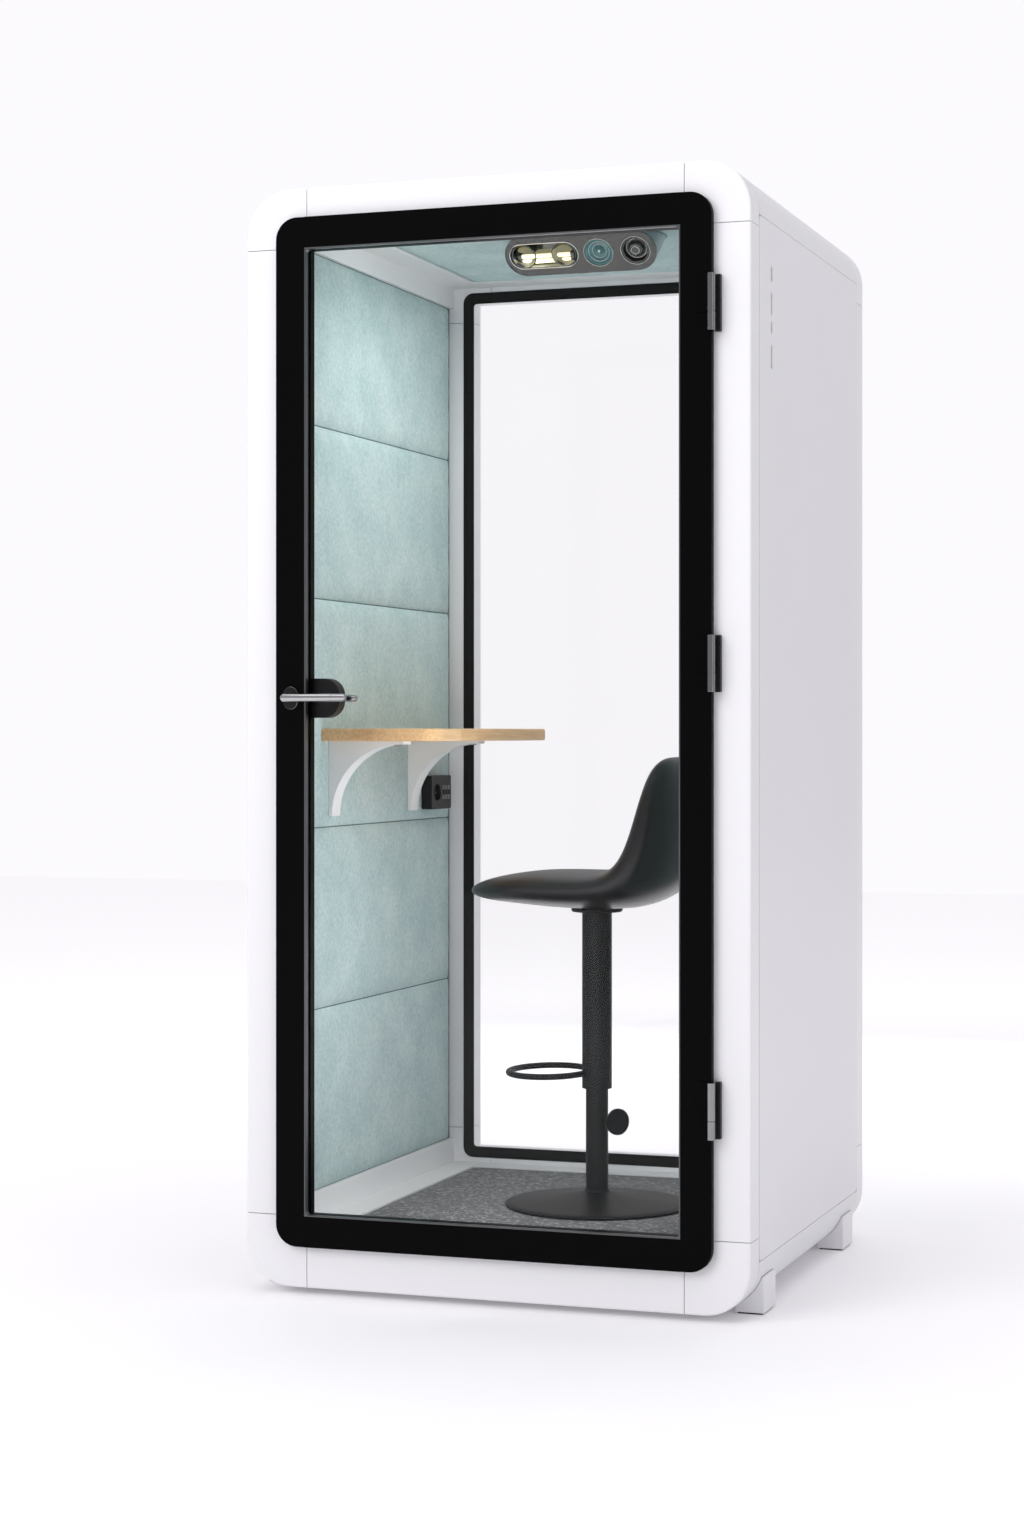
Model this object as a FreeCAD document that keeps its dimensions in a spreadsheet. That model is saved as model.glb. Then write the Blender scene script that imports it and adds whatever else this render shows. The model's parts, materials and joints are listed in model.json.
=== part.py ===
import FreeCAD, Part
import Sketcher
import math
import os
from types import SimpleNamespace

# One-person office telephone booth with a glass door, table, ceiling console and swivel stool.
# X runs to the right, Y to the back and Z up. The origin is on the floor, in the middle of the whole
# footprint, so the cabin's own middle stands half a lever's reach behind it.

doc = FreeCAD.newDocument("Booth")
sheet = doc.addObject("Spreadsheet::Sheet", "Dims")

SIZES = {
    # whole booth
    "overall_width": 1062, "overall_depth": 1026, "overall_height": 2250,
    # shell
    "shell_clearance": 13, "shell_radius": 95, "skin": 2, "seam": 1.2, "edge_margin": 98,
    "front_depth": 66, "rear_depth": 60, "corner_reach": 47, "panel_radius": 12,
    "slot_back": -348, "slot_width": 14,
    "rear_side_bar": 141, "rear_top_bar": 93, "rear_bottom_bar": 150,
    # feet and base
    "foot_length": 95, "foot_width": 60, "foot_height": 72, "foot_setback": 105,
    "pad_thickness": 3, "pad_inset": 5, "base_tube": 60, "base_tube_wall": 4, "base_tube_inset": 156,
    # linings
    "wall_thickness": 96, "felt": 12, "liner": 10, "floor_height": 130, "carpet": 6, "deck": 18,
    "ceiling_drop": 60, "trim_sheet": 6, "ceiling_felt": 10,
    "skirting_height": 55, "skirting_width": 67, "cornice_height": 46, "cornice_width": 72,
    "sill_depth": 53, "header_depth": 70,
    "row_first": 378, "row_second": 380, "row_third": 480, "row_fourth": 362,
    "felt_gap": 1.5, "felt_front_gap": 4, "felt_rear_gap": 13,
    # rear window
    "rear_glass": 8, "border": 3, "border_width": 26, "rebate": 22, "rebate_radius": 24,
    "border_radius": 8, "glass_clearance": 0.5,
    # door
    "door_side_margin": 73.5, "door_top_margin": 62.5, "door_bottom_margin": 86.5,
    "door_proud": 20, "door_overlap": 12.5, "seal_gap": 3, "seal": 2.6, "door_insert": 34,
    "jamb_gap": 4, "stile_width": 62.5, "door_radius": 45, "door_glass": 8, "glass_inset": 26,
    "glass_grip": 10, "bead_width": 3, "bead_depth": 14, "bead_radius": 9,
    # hinges
    "hinge_height": 110, "knuckle_share": 0.67, "knuckle_radius": 8, "pin_radius": 4,
    "pin_clearance": 0.06, "hinge_offset": 1.5, "hinge_lift": 0.5, "leaf_gap": 3, "leaf_width": 11,
    "leaf_thickness": 12, "door_leaf_width": 30, "door_leaf": 3,
    "hinge_from_top": 216, "hinge_from_bottom": 314, "hinge_middle_drop": 912,
    # handle and lock
    "handle_height": 1212.5, "backset": 34.5, "finger_gap": 26, "inner_finger_gap": 20,
    "lever_diameter": 17, "inner_lever_diameter": 16, "lever_length": 134, "inner_lever_length": 106,
    "neck_radius": 7, "rose_width": 31, "rose_height": 46, "rose": 5, "spindle": 8,
    "spindle_bore": 8, "lock_height": 80, "lock_reach": 63, "lock_radius": 34, "lock_plate": 12,
    "lock_edge": 5, "bolt": 14, "bolt_length": 33, "bolt_throw": 10, "bolt_drop": 32,
    "bolt_clearance": 0.3, "bolt_from_glass": 7, "strike_sheet": 1.5, "strike_room": 4,
    # table, brackets and socket box
    "table_front": 100, "table_length": 737, "table_depth": 257, "table_thickness": 26.5,
    "table_height": 1151, "table_radius": 34, "table_edge": 5,
    "bracket_width": 45, "bracket_arm": 168, "bracket_drop": 158, "bracket_tip": 7,
    "bracket_front": 38, "bracket_spacing": 460, "screw_radius": 2.5, "screw_head": 5,
    "screw_head_height": 3, "screw_depth": 15, "screw_inset": 20, "screw_clearance": 0.1,
    "socket_gap": 41, "socket_width": 127, "socket_height": 77, "socket_thickness": 25,
    "socket_radius": 6, "outlet_radius": 19, "outlet_depth": 9, "port_width": 6, "port_height": 13,
    # ceiling console
    "console_x": 77, "console_length": 332, "console_height": 92, "console_wall": 3,
    "console_back": 168.5, "console_bezel": 5, "console_depth": 170, "console_tilt": 126,
    "lamp_x": -80, "lamp_length": 150, "lamp_height": 56, "lamp_depth": 24, "lamp_wall": 1.5,
    "tube_radius": 4.5, "tube_length": 108, "tube_low": 20, "tube_high": 8,
    "tube_lift": 10.5, "tube_holder": 8,
    "vent_x": 40, "nozzle_x": 120.5, "vent_radius": 30, "dish_depth": 14, "dish_wall": 2,
    "vent_clearance": 0.05,
    # fans and roof grille
    "fan_size": 120, "fan_height": 25, "fan_bore": 57, "fan_blade": 54, "fan_hub": 20,
    "fan_pitch": 150, "fan_axle": 2, "fan_lift": 8, "fan_room": 1,
    "airway_inset_x": 30, "airway_inset_y": 12,
    "grille_length": 300, "grille_width": 140, "grille_slot": 6, "grille_step": 18,
    # mains inlet
    "inlet_x": 300, "inlet_height": 75, "inlet_width": 48, "inlet_tall": 28, "inlet_depth": 25,
    # stool
    "stool_x": 68, "stool_back": -25, "base_radius": 197, "base_edge": 7, "base_crown": 31,
    "tube_outer": 24, "tube_inner": 21, "tube_top": 640, "sleeve_radius": 32, "sleeve_bottom": 381,
    "sleeve_top": 758, "sleeve_room": 0.4, "sleeve_cap": 50, "post_radius": 18, "post_bore": 15, "post_bottom": 190,
    "pivot_radius": 12, "pivot_clearance": 0.06, "pivot_depth": 44, "swivel_gap": 0.3,
    "plate_radius": 55, "plate_thickness": 7.7, "ring_height": 413, "ring_bar": 6.5,
    "ring_half_x": 84, "ring_half_y": 110, "ring_tuck": 8,
    "knob_height": 316, "knob_radius": 28, "knob_thickness": 16, "knob_reach": 62, "knob_angle": -34,
    "stud_radius": 5, "stud_clearance": 0.06, "stud_gap": 0.3,
    # seat
    "seat_front": 250, "seat_rear": 194, "seat_half_width": 200, "seat_bottom": 766,
    "seat_top": 836, "seat_corner": 120, "seat_under": 34, "seat_edge": 12,
    "back_half_width": 175, "back_thickness": 48, "back_top": 1091, "back_lean": 7,
}

for row, (name, number) in enumerate(SIZES.items(), start=1):
    sheet.set(f"A{row}", name)
    sheet.set(f"B{row}", str(number))
    sheet.setAlias(f"B{row}", name)
doc.recompute()


class Size:
    """A length that carries its number together with the sheet formula that gives it."""

    def __init__(self, value, text):
        self.value = value
        self.text = text

    def joined(self, sign, other, value):
        return Size(value, f"({self.text} {sign} {other.text})")

    def __add__(self, other):
        other = as_size(other)
        return self.joined("+", other, self.value + other.value)

    def __sub__(self, other):
        other = as_size(other)
        return self.joined("-", other, self.value - other.value)

    def __mul__(self, other):
        other = as_size(other)
        return self.joined("*", other, self.value * other.value)

    def __truediv__(self, other):
        other = as_size(other)
        return self.joined("/", other, self.value / other.value)

    def __neg__(self):
        return Size(-self.value, f"(0 - {self.text})")

    def __radd__(self, other):
        return as_size(other) + self

    def __rsub__(self, other):
        return as_size(other) - self


def as_size(number):
    if isinstance(number, Size):
        return number
    return Size(number, f"({number})")


d = SimpleNamespace(**{name: Size(number, f"Dims.{name}") for name, number in SIZES.items()})
zero = as_size(0)


# ---------------------------------------------------------------- tools for making sub-parts

def tie(item, prop, size):
    """Bind one property of an object to a formula over the sheet."""
    item.setExpression(prop, as_size(size).text)


def place(item, x=0, y=0, z=0):
    for axis, size in zip("xyz", (x, y, z)):
        tie(item, f"Placement.Base.{axis}", size)


def box(name, x, y, z):
    """A block between a low and a high size on each axis."""
    item = doc.addObject("Part::Box", name)
    tie(item, "Length", x[1] - x[0])
    tie(item, "Width", y[1] - y[0])
    tie(item, "Height", z[1] - z[0])
    place(item, x[0], y[0], z[0])
    return item


TURNS = {
    "X": FreeCAD.Rotation(FreeCAD.Vector(0, 1, 0), 90),
    "Y": FreeCAD.Rotation(FreeCAD.Vector(1, 0, 0), -90),
    "Z": FreeCAD.Rotation(),
}


def rod(name, axis, across, radius, span):
    """A cylinder along an axis: across is its place on the other two axes, in X, Y, Z order."""
    item = doc.addObject("Part::Cylinder", name)
    tie(item, "Radius", radius)
    tie(item, "Height", span[1] - span[0])
    item.Placement.Rotation = TURNS[axis]
    spot = list(across)
    spot.insert("XYZ".index(axis), span[0])
    place(item, *spot)
    return item


def ball(name, x, y, z, radius):
    item = doc.addObject("Part::Sphere", name)
    tie(item, "Radius", radius)
    place(item, x, y, z)
    return item


def fuse(name, *pieces):
    item = doc.addObject("Part::MultiFuse", name)
    item.Shapes = list(pieces)
    item.Refine = True
    return item


def cut(name, base, *tools):
    item = doc.addObject("Part::Cut", name)
    item.Base = base
    item.Tool = tools[0] if len(tools) == 1 else together(name + "_tools", *tools)
    item.Refine = True
    return item


def common(name, first, second):
    item = doc.addObject("Part::MultiCommon", name)
    item.Shapes = [first, second]
    item.Refine = True
    return item


def together(name, *pieces):
    """Separate solids kept side by side in one object."""
    item = doc.addObject("Part::Compound", name)
    item.Links = list(pieces)
    return item


def mirrored(name, source):
    """The same piece on the other side of the booth's middle plane."""
    item = doc.addObject("Part::Mirroring", name)
    item.Source = source
    item.Normal = FreeCAD.Vector(1, 0, 0)
    item.Base = FreeCAD.Vector(0, 0, 0)
    return item


def new_body(name):
    return doc.addObject("PartDesign::Body", name)


def sketch_in(body, role, name):
    sketch = body.newObject("Sketcher::SketchObject", name)
    plane = next(item for item in body.Origin.OriginFeatures if item.Role == role)
    sketch.AttachmentSupport = [(plane, "")]
    sketch.MapMode = "FlatFace"
    return sketch


def pin_point(sketch, geometry, end, x, y):
    """Hold one end of a sketch element at a place given by two sizes."""
    for kind, size in (("DistanceX", as_size(x)), ("DistanceY", as_size(y))):
        index = sketch.addConstraint(Sketcher.Constraint(kind, -1, 1, geometry, end, size.value))
        sketch.setExpression(f"Constraints[{index}]", size.text)


def draw_outline(sketch, points):
    """A closed outline of straight lines through the given corners."""
    count = len(points)
    lines = []
    for index, point in enumerate(points):
        after = points[(index + 1) % count]
        start = FreeCAD.Vector(as_size(point[0]).value, as_size(point[1]).value, 0)
        end = FreeCAD.Vector(as_size(after[0]).value, as_size(after[1]).value, 0)
        lines.append(sketch.addGeometry(Part.LineSegment(start, end), False))
    for index, geometry in enumerate(lines):
        sketch.addConstraint(Sketcher.Constraint("Coincident", geometry, 2, lines[(index + 1) % count], 1))
        pin_point(sketch, geometry, 1, points[index][0], points[index][1])


def draw_rectangle(sketch, x, y):
    draw_outline(sketch, [(x[0], y[0]), (x[1], y[0]), (x[1], y[1]), (x[0], y[1])])


def draw_circle(sketch, x, y, radius):
    x, y, radius = as_size(x), as_size(y), as_size(radius)
    centre = FreeCAD.Vector(x.value, y.value, 0)
    circle = sketch.addGeometry(Part.Circle(centre, FreeCAD.Vector(0, 0, 1), radius.value), False)
    pin_point(sketch, circle, 3, x, y)
    index = sketch.addConstraint(Sketcher.Constraint("Radius", circle, radius.value))
    sketch.setExpression(f"Constraints[{index}]", radius.text)


def pad(body, sketch, length, name="Pad", both_ways=False, backwards=False):
    feature = body.newObject("PartDesign::Pad", name)
    feature.Profile = sketch
    tie(feature, "Length", length)
    feature.Midplane = both_ways
    feature.Reversed = backwards
    doc.recompute()
    return feature


def pocket(body, sketch, depth, name="Pocket", backwards=False, both_ways=False):
    """Cut a pocket and make sure that it took something away."""
    before = body.Shape.Volume
    feature = body.newObject("PartDesign::Pocket", name)
    feature.Profile = sketch
    tie(feature, "Length", depth)
    feature.Reversed = backwards
    feature.Midplane = both_ways
    doc.recompute()
    if not feature.Shape.Volume < before - 1e-6:
        raise RuntimeError(f"{body.Label}: {name} cuts nothing")
    return feature


def revolve(body, sketch, name="Revolution"):
    """Turn a sketch drawn in the XZ plane about the vertical axis."""
    feature = body.newObject("PartDesign::Revolution", name)
    feature.Profile = sketch
    feature.ReferenceAxis = (sketch, ["V_Axis"])
    feature.Angle = 360
    doc.recompute()
    return feature


def edges_where(shape, wanted):
    return [f"Edge{index}" for index, edge in enumerate(shape.Edges, start=1) if wanted(edge)]


def runs_along(axis):
    direction = {"X": 0, "Y": 1, "Z": 2}[axis]

    def wanted(edge):
        if not isinstance(edge.Curve, Part.Line):
            return False
        return abs(edge.Curve.Direction[direction]) > 0.999

    return wanted


def soften(body, kind, wanted, radius, name):
    """Fillet or chamfer the edges of a body's last feature that pass a test."""
    tip = body.Tip
    feature = body.newObject(f"PartDesign::{kind}", name)
    feature.Base = (tip, edges_where(tip.Shape, wanted))
    tie(feature, "Radius" if kind == "Fillet" else "Size", radius)
    doc.recompute()
    return feature


def rounded(name, x, y, z, axis, radius):
    """A block whose four edges along one axis are rounded."""
    body = new_body(name)
    sketch = sketch_in(body, "XY_Plane", name + "_plan")
    draw_rectangle(sketch, x, y)
    pad(body, sketch, z[1] - z[0], name + "_pad")
    soften(body, "Fillet", runs_along(axis), radius, name + "_round")
    place(body, 0, 0, z[0])
    return body


def ring(name, outer_x, outer_z, inner_x, inner_z, y, outer_radius, inner_radius):
    """A flat frame facing the front, with round outer and inner corners."""
    plate = rounded(name + "_plate", outer_x, y, outer_z, "Y", outer_radius)
    hole = rounded(name + "_hole", inner_x, (y[0] - 1, y[1] + 1), inner_z, "Y", inner_radius)
    return cut(name, plate, hole)


def both(size):
    """The span from minus to plus a size."""
    return (-size, size)


nodes = []


def node(item, label):
    """Give a finished sub-part its own name and put it on the list to be written."""
    item.Label = label
    nodes.append(item)
    return item


# ---------------------------------------------------------------- shared places

half = d.overall_width / 2
top = d.overall_height
bottom = d.shell_clearance
reach = d.door_proud + d.finger_gap + d.lever_diameter
middle = reach / 2
front = middle - d.overall_depth / 2
rear = middle + d.overall_depth / 2
ring_back = front + d.front_depth
rear_inner = rear - d.rear_depth
depth_span = (ring_back, rear_inner)

felt_face = half - d.wall_thickness
liner_face = felt_face + d.felt
liner_back = liner_face + d.liner
deck_top = d.floor_height - d.carpet
deck_bottom = deck_top - d.deck
ceiling = top - d.ceiling_drop
liner_low = ceiling + d.trim_sheet
liner_high = liner_low + d.liner

door_half = half - d.door_side_margin
door_low = bottom + d.door_bottom_margin
door_high = top - d.door_top_margin
open_half = door_half - d.door_overlap
open_low = door_low + d.door_overlap
open_high = door_high - d.door_overlap
door_face = front - d.door_proud
flange_back = front - d.seal_gap
door_back = front + d.door_insert
clear_half = door_half - d.stile_width
clear_low = door_low + d.stile_width
clear_high = door_high - d.stile_width
insert_half = open_half - d.jamb_gap
insert_low = open_low + d.jamb_gap
insert_high = open_high - d.jamb_gap

lever_x = d.backset - door_half
lever_z = d.handle_height


# ---------------------------------------------------------------- shell

def shell():
    prism = rounded("shell_prism", both(half), (front, rear), (bottom, top), "Y", d.shell_radius)
    hollow = rounded("shell_hollow", both(half - d.skin), (front, rear), (bottom + d.skin, top - d.skin),
                     "Y", d.shell_radius - d.skin)

    # front ring around the doorway
    reach_x = open_half - d.corner_reach
    reach_low = open_low + d.corner_reach
    reach_high = open_high - d.corner_reach
    span = (front, ring_back)
    post = box("left_post", (-half, -open_half), span, (reach_low + d.seam, reach_high - d.seam))
    bolt_z = lever_z - d.bolt_drop
    room = d.bolt / 2 + d.bolt_clearance + 2
    pocket_x = -insert_half - d.bolt_throw - d.strike_room - d.strike_sheet
    bolt_back = front + d.glass_inset - d.door_proud + d.bolt_from_glass + d.bolt
    channel = box("strike_channel", (pocket_x, -open_half), (front, bolt_back + d.strike_room),
                  (bolt_z - room, bolt_z + room))
    right_post = box("right_post", (open_half, half), span, (reach_low + d.seam, reach_high - d.seam))
    node(together("front_post_pair", cut("strike_post", post, channel), right_post), "front_posts")
    node(box("strike", (pocket_x, pocket_x + d.strike_sheet), (front, bolt_back + d.strike_room),
             (bolt_z - room, bolt_z + room)), "strike_plate")
    rail_x = both(reach_x - d.seam)
    node(together("front_rail_pair", box("front_head", rail_x, span, (open_high, top)),
                  box("front_sill", rail_x, span, (bottom, open_low))), "front_rails")
    node(corner_blocks("front_corners", prism, open_half, open_low, open_high, span), "front_corner_blocks")

    # rear ring around the window
    window_half = half - d.rear_side_bar
    window_low = bottom + d.rear_bottom_bar
    window_high = top - d.rear_top_bar
    span = (rear_inner, rear)
    seat = rounded("glass_seat", both(window_half + d.rebate), (rear_inner, rear_inner + d.border + d.rear_glass),
                   (window_low - d.rebate, window_high + d.rebate), "Y", d.rebate_radius)
    rear_x = window_half - d.corner_reach
    posts = box("rear_post", (-half, -window_half), span,
                (window_low + d.corner_reach + d.seam, window_high - d.corner_reach - d.seam))
    rails = (box("rear_head", both(rear_x - d.seam), span, (window_high, top)),
             inlet_rail(box("rear_foot", both(rear_x - d.seam), span, (bottom, window_low))))
    bars = together("rear_bar_set", posts, mirrored("rear_post_right", posts), *rails)
    node(cut("rear_bars_rebated", bars, seat), "rear_frame_bars")
    blocks = corner_blocks("rear_corners", prism, window_half, window_low, window_high, span)
    node(cut("rear_corners_rebated", blocks, seat), "rear_corner_blocks")
    slack = d.rebate - d.glass_clearance
    outer = (both(window_half + slack), (window_low - slack, window_high + slack))
    width = d.border_width
    inner = (both(window_half + d.rebate - width), (window_low - d.rebate + width, window_high + d.rebate - width))
    node(ring("border_ring", outer[0], outer[1], inner[0], inner[1], (rear_inner, rear_inner + d.border),
              d.rebate_radius - d.glass_clearance, d.border_radius), "rear_window_border")
    node(rounded("rear_pane", outer[0], (rear_inner + d.border, rear_inner + d.border + d.rear_glass), outer[1],
                 "Y", d.rebate_radius - d.glass_clearance), "rear_glass")

    # panels and round edge trims between the two rings
    span = (ring_back + d.seam, rear_inner - d.seam)
    panel_z = (bottom + d.edge_margin + d.seam, top - d.edge_margin - d.seam)
    panel = rounded("left_panel", (-half, -half + d.skin), span, panel_z, "X", d.panel_radius)
    slots = [slot_way(index, low, high) for index, (low, high) in enumerate(SIDE_SLOTS)]
    right_panel = cut("right_panel_slotted", mirrored("right_panel", panel), *slots)
    node(together("side_panel_pair", panel, right_panel), "side_panels")
    roof_x = half - d.edge_margin - d.seam
    roof = rounded("roof_sheet", both(roof_x), span, (top - d.skin, top), "Z", d.panel_radius)
    hole = box("grille_hole", fan_x_span(d.grille_length / 2 + 1), fan_y_span(d.grille_width / 2 + 1),
               (top - d.skin - 1, top + 1))
    node(cut("roof_cut", roof, hole), "roof_panel")
    node(box("pan", both(roof_x), span, (bottom, bottom + d.skin)), "base_pan")
    tube = cut("shell_tube", prism, hollow)
    margin = d.edge_margin
    spots = [((-half, -half + margin), (bottom, bottom + margin)), ((half - margin, half), (bottom, bottom + margin)),
             ((-half, -half + margin), (top - margin, top)), ((half - margin, half), (top - margin, top))]
    corners = [box(f"trim_zone_{index}", x, span, z) for index, (x, z) in enumerate(spots)]
    node(common("trim_pieces", tube, together("trim_zones", *corners)), "edge_trims")

    # feet under the round bottom edges
    spans = [(front + d.foot_setback, front + d.foot_setback + d.foot_length),
             (rear - d.foot_setback - d.foot_length, rear - d.foot_setback)]
    blocks, pads = [], []
    for index, y in enumerate(spans):
        for side, x in (("left", (-half, -half + d.foot_width)), ("right", (half - d.foot_width, half))):
            blocks.append(box(f"foot_{side}_{index}", x, y, (d.pad_thickness, d.pad_thickness + d.foot_height)))
            pads.append(box(f"pad_{side}_{index}", (x[0] + d.pad_inset, x[1] - d.pad_inset),
                            (y[0] + d.pad_inset, y[1] - d.pad_inset), (zero, d.pad_thickness)))
    node(cut("feet_fitted", together("feet_raw", *blocks), prism), "foot_blocks")
    node(together("foot_pad_set", *pads), "foot_pads")
    return hollow


SIDE_SLOTS = ((1861, 1910), (1931, 1957), (1967, 2014), (2034, 2066))


def slot_way(index, low, high):
    """One upright slot with round ends through the skin of the right side."""
    name = f"side_slot_{index}"
    y = middle + d.slot_back
    radius = d.slot_width / 2
    span = (half - d.skin - 1, half + 1)
    return fuse(name,
                box(name + "_mid", span, (y - radius, y + radius), (low + radius, high - radius)),
                rod(name + "_low", "X", (y, low + radius), radius, span),
                rod(name + "_high", "X", (y, high - radius), radius, span))


def corner_blocks(name, prism, opening, low, high, span):
    """The four corner pieces of a ring, with an inside corner cut to the ring's opening."""
    inner = opening - d.corner_reach
    zones = []
    for index, z in enumerate(((bottom, low + d.corner_reach), (high - d.corner_reach, top))):
        zones.append(box(f"{name}_left_{index}", (-half, -inner), span, z))
        zones.append(box(f"{name}_right_{index}", (inner, half), span, z))
    hole = box(name + "_opening", both(opening), (span[0] - 1, span[1] + 1), (low, high))
    return cut(name + "_cut", common(name, prism, together(name + "_zones", *zones)), hole)


def inlet_rail(rail):
    """The rear bottom rail with its pocket, and the mains inlet in it."""
    x = (d.inlet_x - d.inlet_width / 2, d.inlet_x + d.inlet_width / 2)
    z = (d.inlet_height - d.inlet_tall / 2, d.inlet_height + d.inlet_tall / 2)
    hole = box("inlet_hole", x, (rear - d.inlet_depth, rear), z)
    body = box("inlet_body", x, (rear - d.inlet_depth, rear - 1), z)
    well = box("inlet_well", (x[0] + 6, x[1] - 6), (rear - d.inlet_depth + 5, rear), (z[0] + 5, z[1] - 5))
    node(cut("inlet", body, well), "power_inlet")
    return cut("rear_foot_cut", rail, hole)


def fan_x_span(reach_x):
    return (d.console_x - reach_x, d.console_x + reach_x)


def fan_y_span(reach_y):
    centre = middle - d.console_back + d.fan_size / 2 - 5
    return (centre - reach_y, centre + reach_y)


# ---------------------------------------------------------------- linings

def linings(hollow):
    core = common("left_core", hollow, box("left_core_zone", (-half, -liner_back), depth_span, (bottom, liner_high)))
    roof_core = common("roof_core", hollow, box("roof_core_zone", both(half), depth_span, (liner_high, top)))
    wells = [box(f"fan_well_{index}", x, fan_y_span(d.fan_size / 2 + d.fan_room),
                 (liner_high - 1, top)) for index, x in enumerate(fan_spans(d.fan_size / 2 + d.fan_room))]
    node(together("core_set", core, mirrored("right_core", core), cut("roof_core_cut", roof_core, *wells)),
         "insulation_cores")

    liner = box("left_liner", (-liner_back, -liner_face), depth_span, (deck_top, liner_high))
    air_x = fan_x_span(d.console_length / 2 - d.airway_inset_x)
    air_y = fan_y_span(d.fan_size / 2 - d.airway_inset_y)
    high = (liner_low, liner_high)
    boards = [box("board_front", both(liner_face), (ring_back, air_y[0]), high),
              box("board_rear", both(liner_face), (air_y[1], rear_inner), high),
              box("board_left", (-liner_face, air_x[0]), air_y, high),
              box("board_right", (air_x[1], liner_face), air_y, high)]
    node(together("liner_set", liner, mirrored("right_liner", liner), *boards), "liners")
    node(box("deck_board", both(liner_back), depth_span, (deck_bottom, deck_top)), "floor_deck")

    carpet_half = felt_face - d.skirting_width
    node(box("carpet_sheet", both(carpet_half), (ring_back, rear_inner - d.sill_depth),
             (deck_top, d.floor_height)), "carpet")
    sill = box("sill_strip", both(carpet_half), (rear_inner - d.sill_depth, rear_inner), (deck_top, d.floor_height))
    header_half = felt_face - d.cornice_width
    header = box("header_strip", both(header_half), (rear_inner - d.header_depth, rear_inner),
                 (ceiling, liner_low))
    node(together("strips", sill, header), "rear_strips")

    skirting = fuse("skirting",
                    box("skirting_side", (-liner_face, -felt_face), depth_span,
                        (deck_top, d.floor_height + d.skirting_height)),
                    box("skirting_foot", (-felt_face, -carpet_half), depth_span, (deck_top, d.floor_height)))
    cornice = fuse("cornice",
                   box("cornice_side", (-liner_face, -felt_face), depth_span,
                       (ceiling - d.cornice_height, liner_low)),
                   box("cornice_top", (-felt_face, -header_half), depth_span, (ceiling, liner_low)))
    node(together("trim_set", skirting, mirrored("skirting_right", skirting), cornice,
                  mirrored("cornice_right", cornice)), "inner_trims")

    felts = []
    low = d.floor_height + d.skirting_height
    felt_y = (ring_back + d.felt_front_gap, rear_inner - d.felt_rear_gap)
    for index, tall in enumerate((d.row_first, d.row_second, d.row_third, d.row_fourth, None)):
        high = low + tall if tall else ceiling - d.cornice_height
        felts.append(box(f"felt_{index}", (-liner_face, -felt_face), felt_y,
                         (low + d.felt_gap / 2, high - d.felt_gap / 2)))
        low = high
    left = together("left_felts", *felts)
    node(left, "left_wall_felts")
    node(mirrored("right_felts", left), "right_wall_felts")

    felt_half = header_half - d.felt_gap
    slab = box("ceiling_pad", both(felt_half), (ring_back + d.felt_front_gap, rear_inner - d.header_depth - d.felt_gap),
               (liner_low - d.ceiling_felt, liner_low))
    node(cut("ceiling_pad_cut", slab, console_prism("pad_hole", d.felt_gap)), "ceiling_felt")


def base_frame():
    """Two long steel tubes and three cross tubes between the base pan and the deck."""
    z = (bottom + d.skin, deck_bottom)
    inset = half - d.base_tube_inset
    tubes = [("long_left", (-inset - d.base_tube, -inset), depth_span, "Y"),
             ("long_right", (inset, inset + d.base_tube), depth_span, "Y")]
    cross = [(ring_back, ring_back + d.base_tube), (middle - d.base_tube / 2, middle + d.base_tube / 2),
             (rear_inner - d.base_tube, rear_inner)]
    tubes += [(f"cross_{index}", both(inset), y, "X") for index, y in enumerate(cross)]
    made = []
    wall = d.base_tube_wall
    for name, x, y, axis in tubes:
        inner_x = (x[0] - 1, x[1] + 1) if axis == "X" else (x[0] + wall, x[1] - wall)
        inner_y = (y[0] - 1, y[1] + 1) if axis == "Y" else (y[0] + wall, y[1] - wall)
        made.append(cut(name, box(name + "_bar", x, y, z),
                        box(name + "_bore", inner_x, inner_y, (z[0] + wall, z[1] - wall))))
    node(together("base_tubes", *made), "base_frame")


# ---------------------------------------------------------------- door

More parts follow.
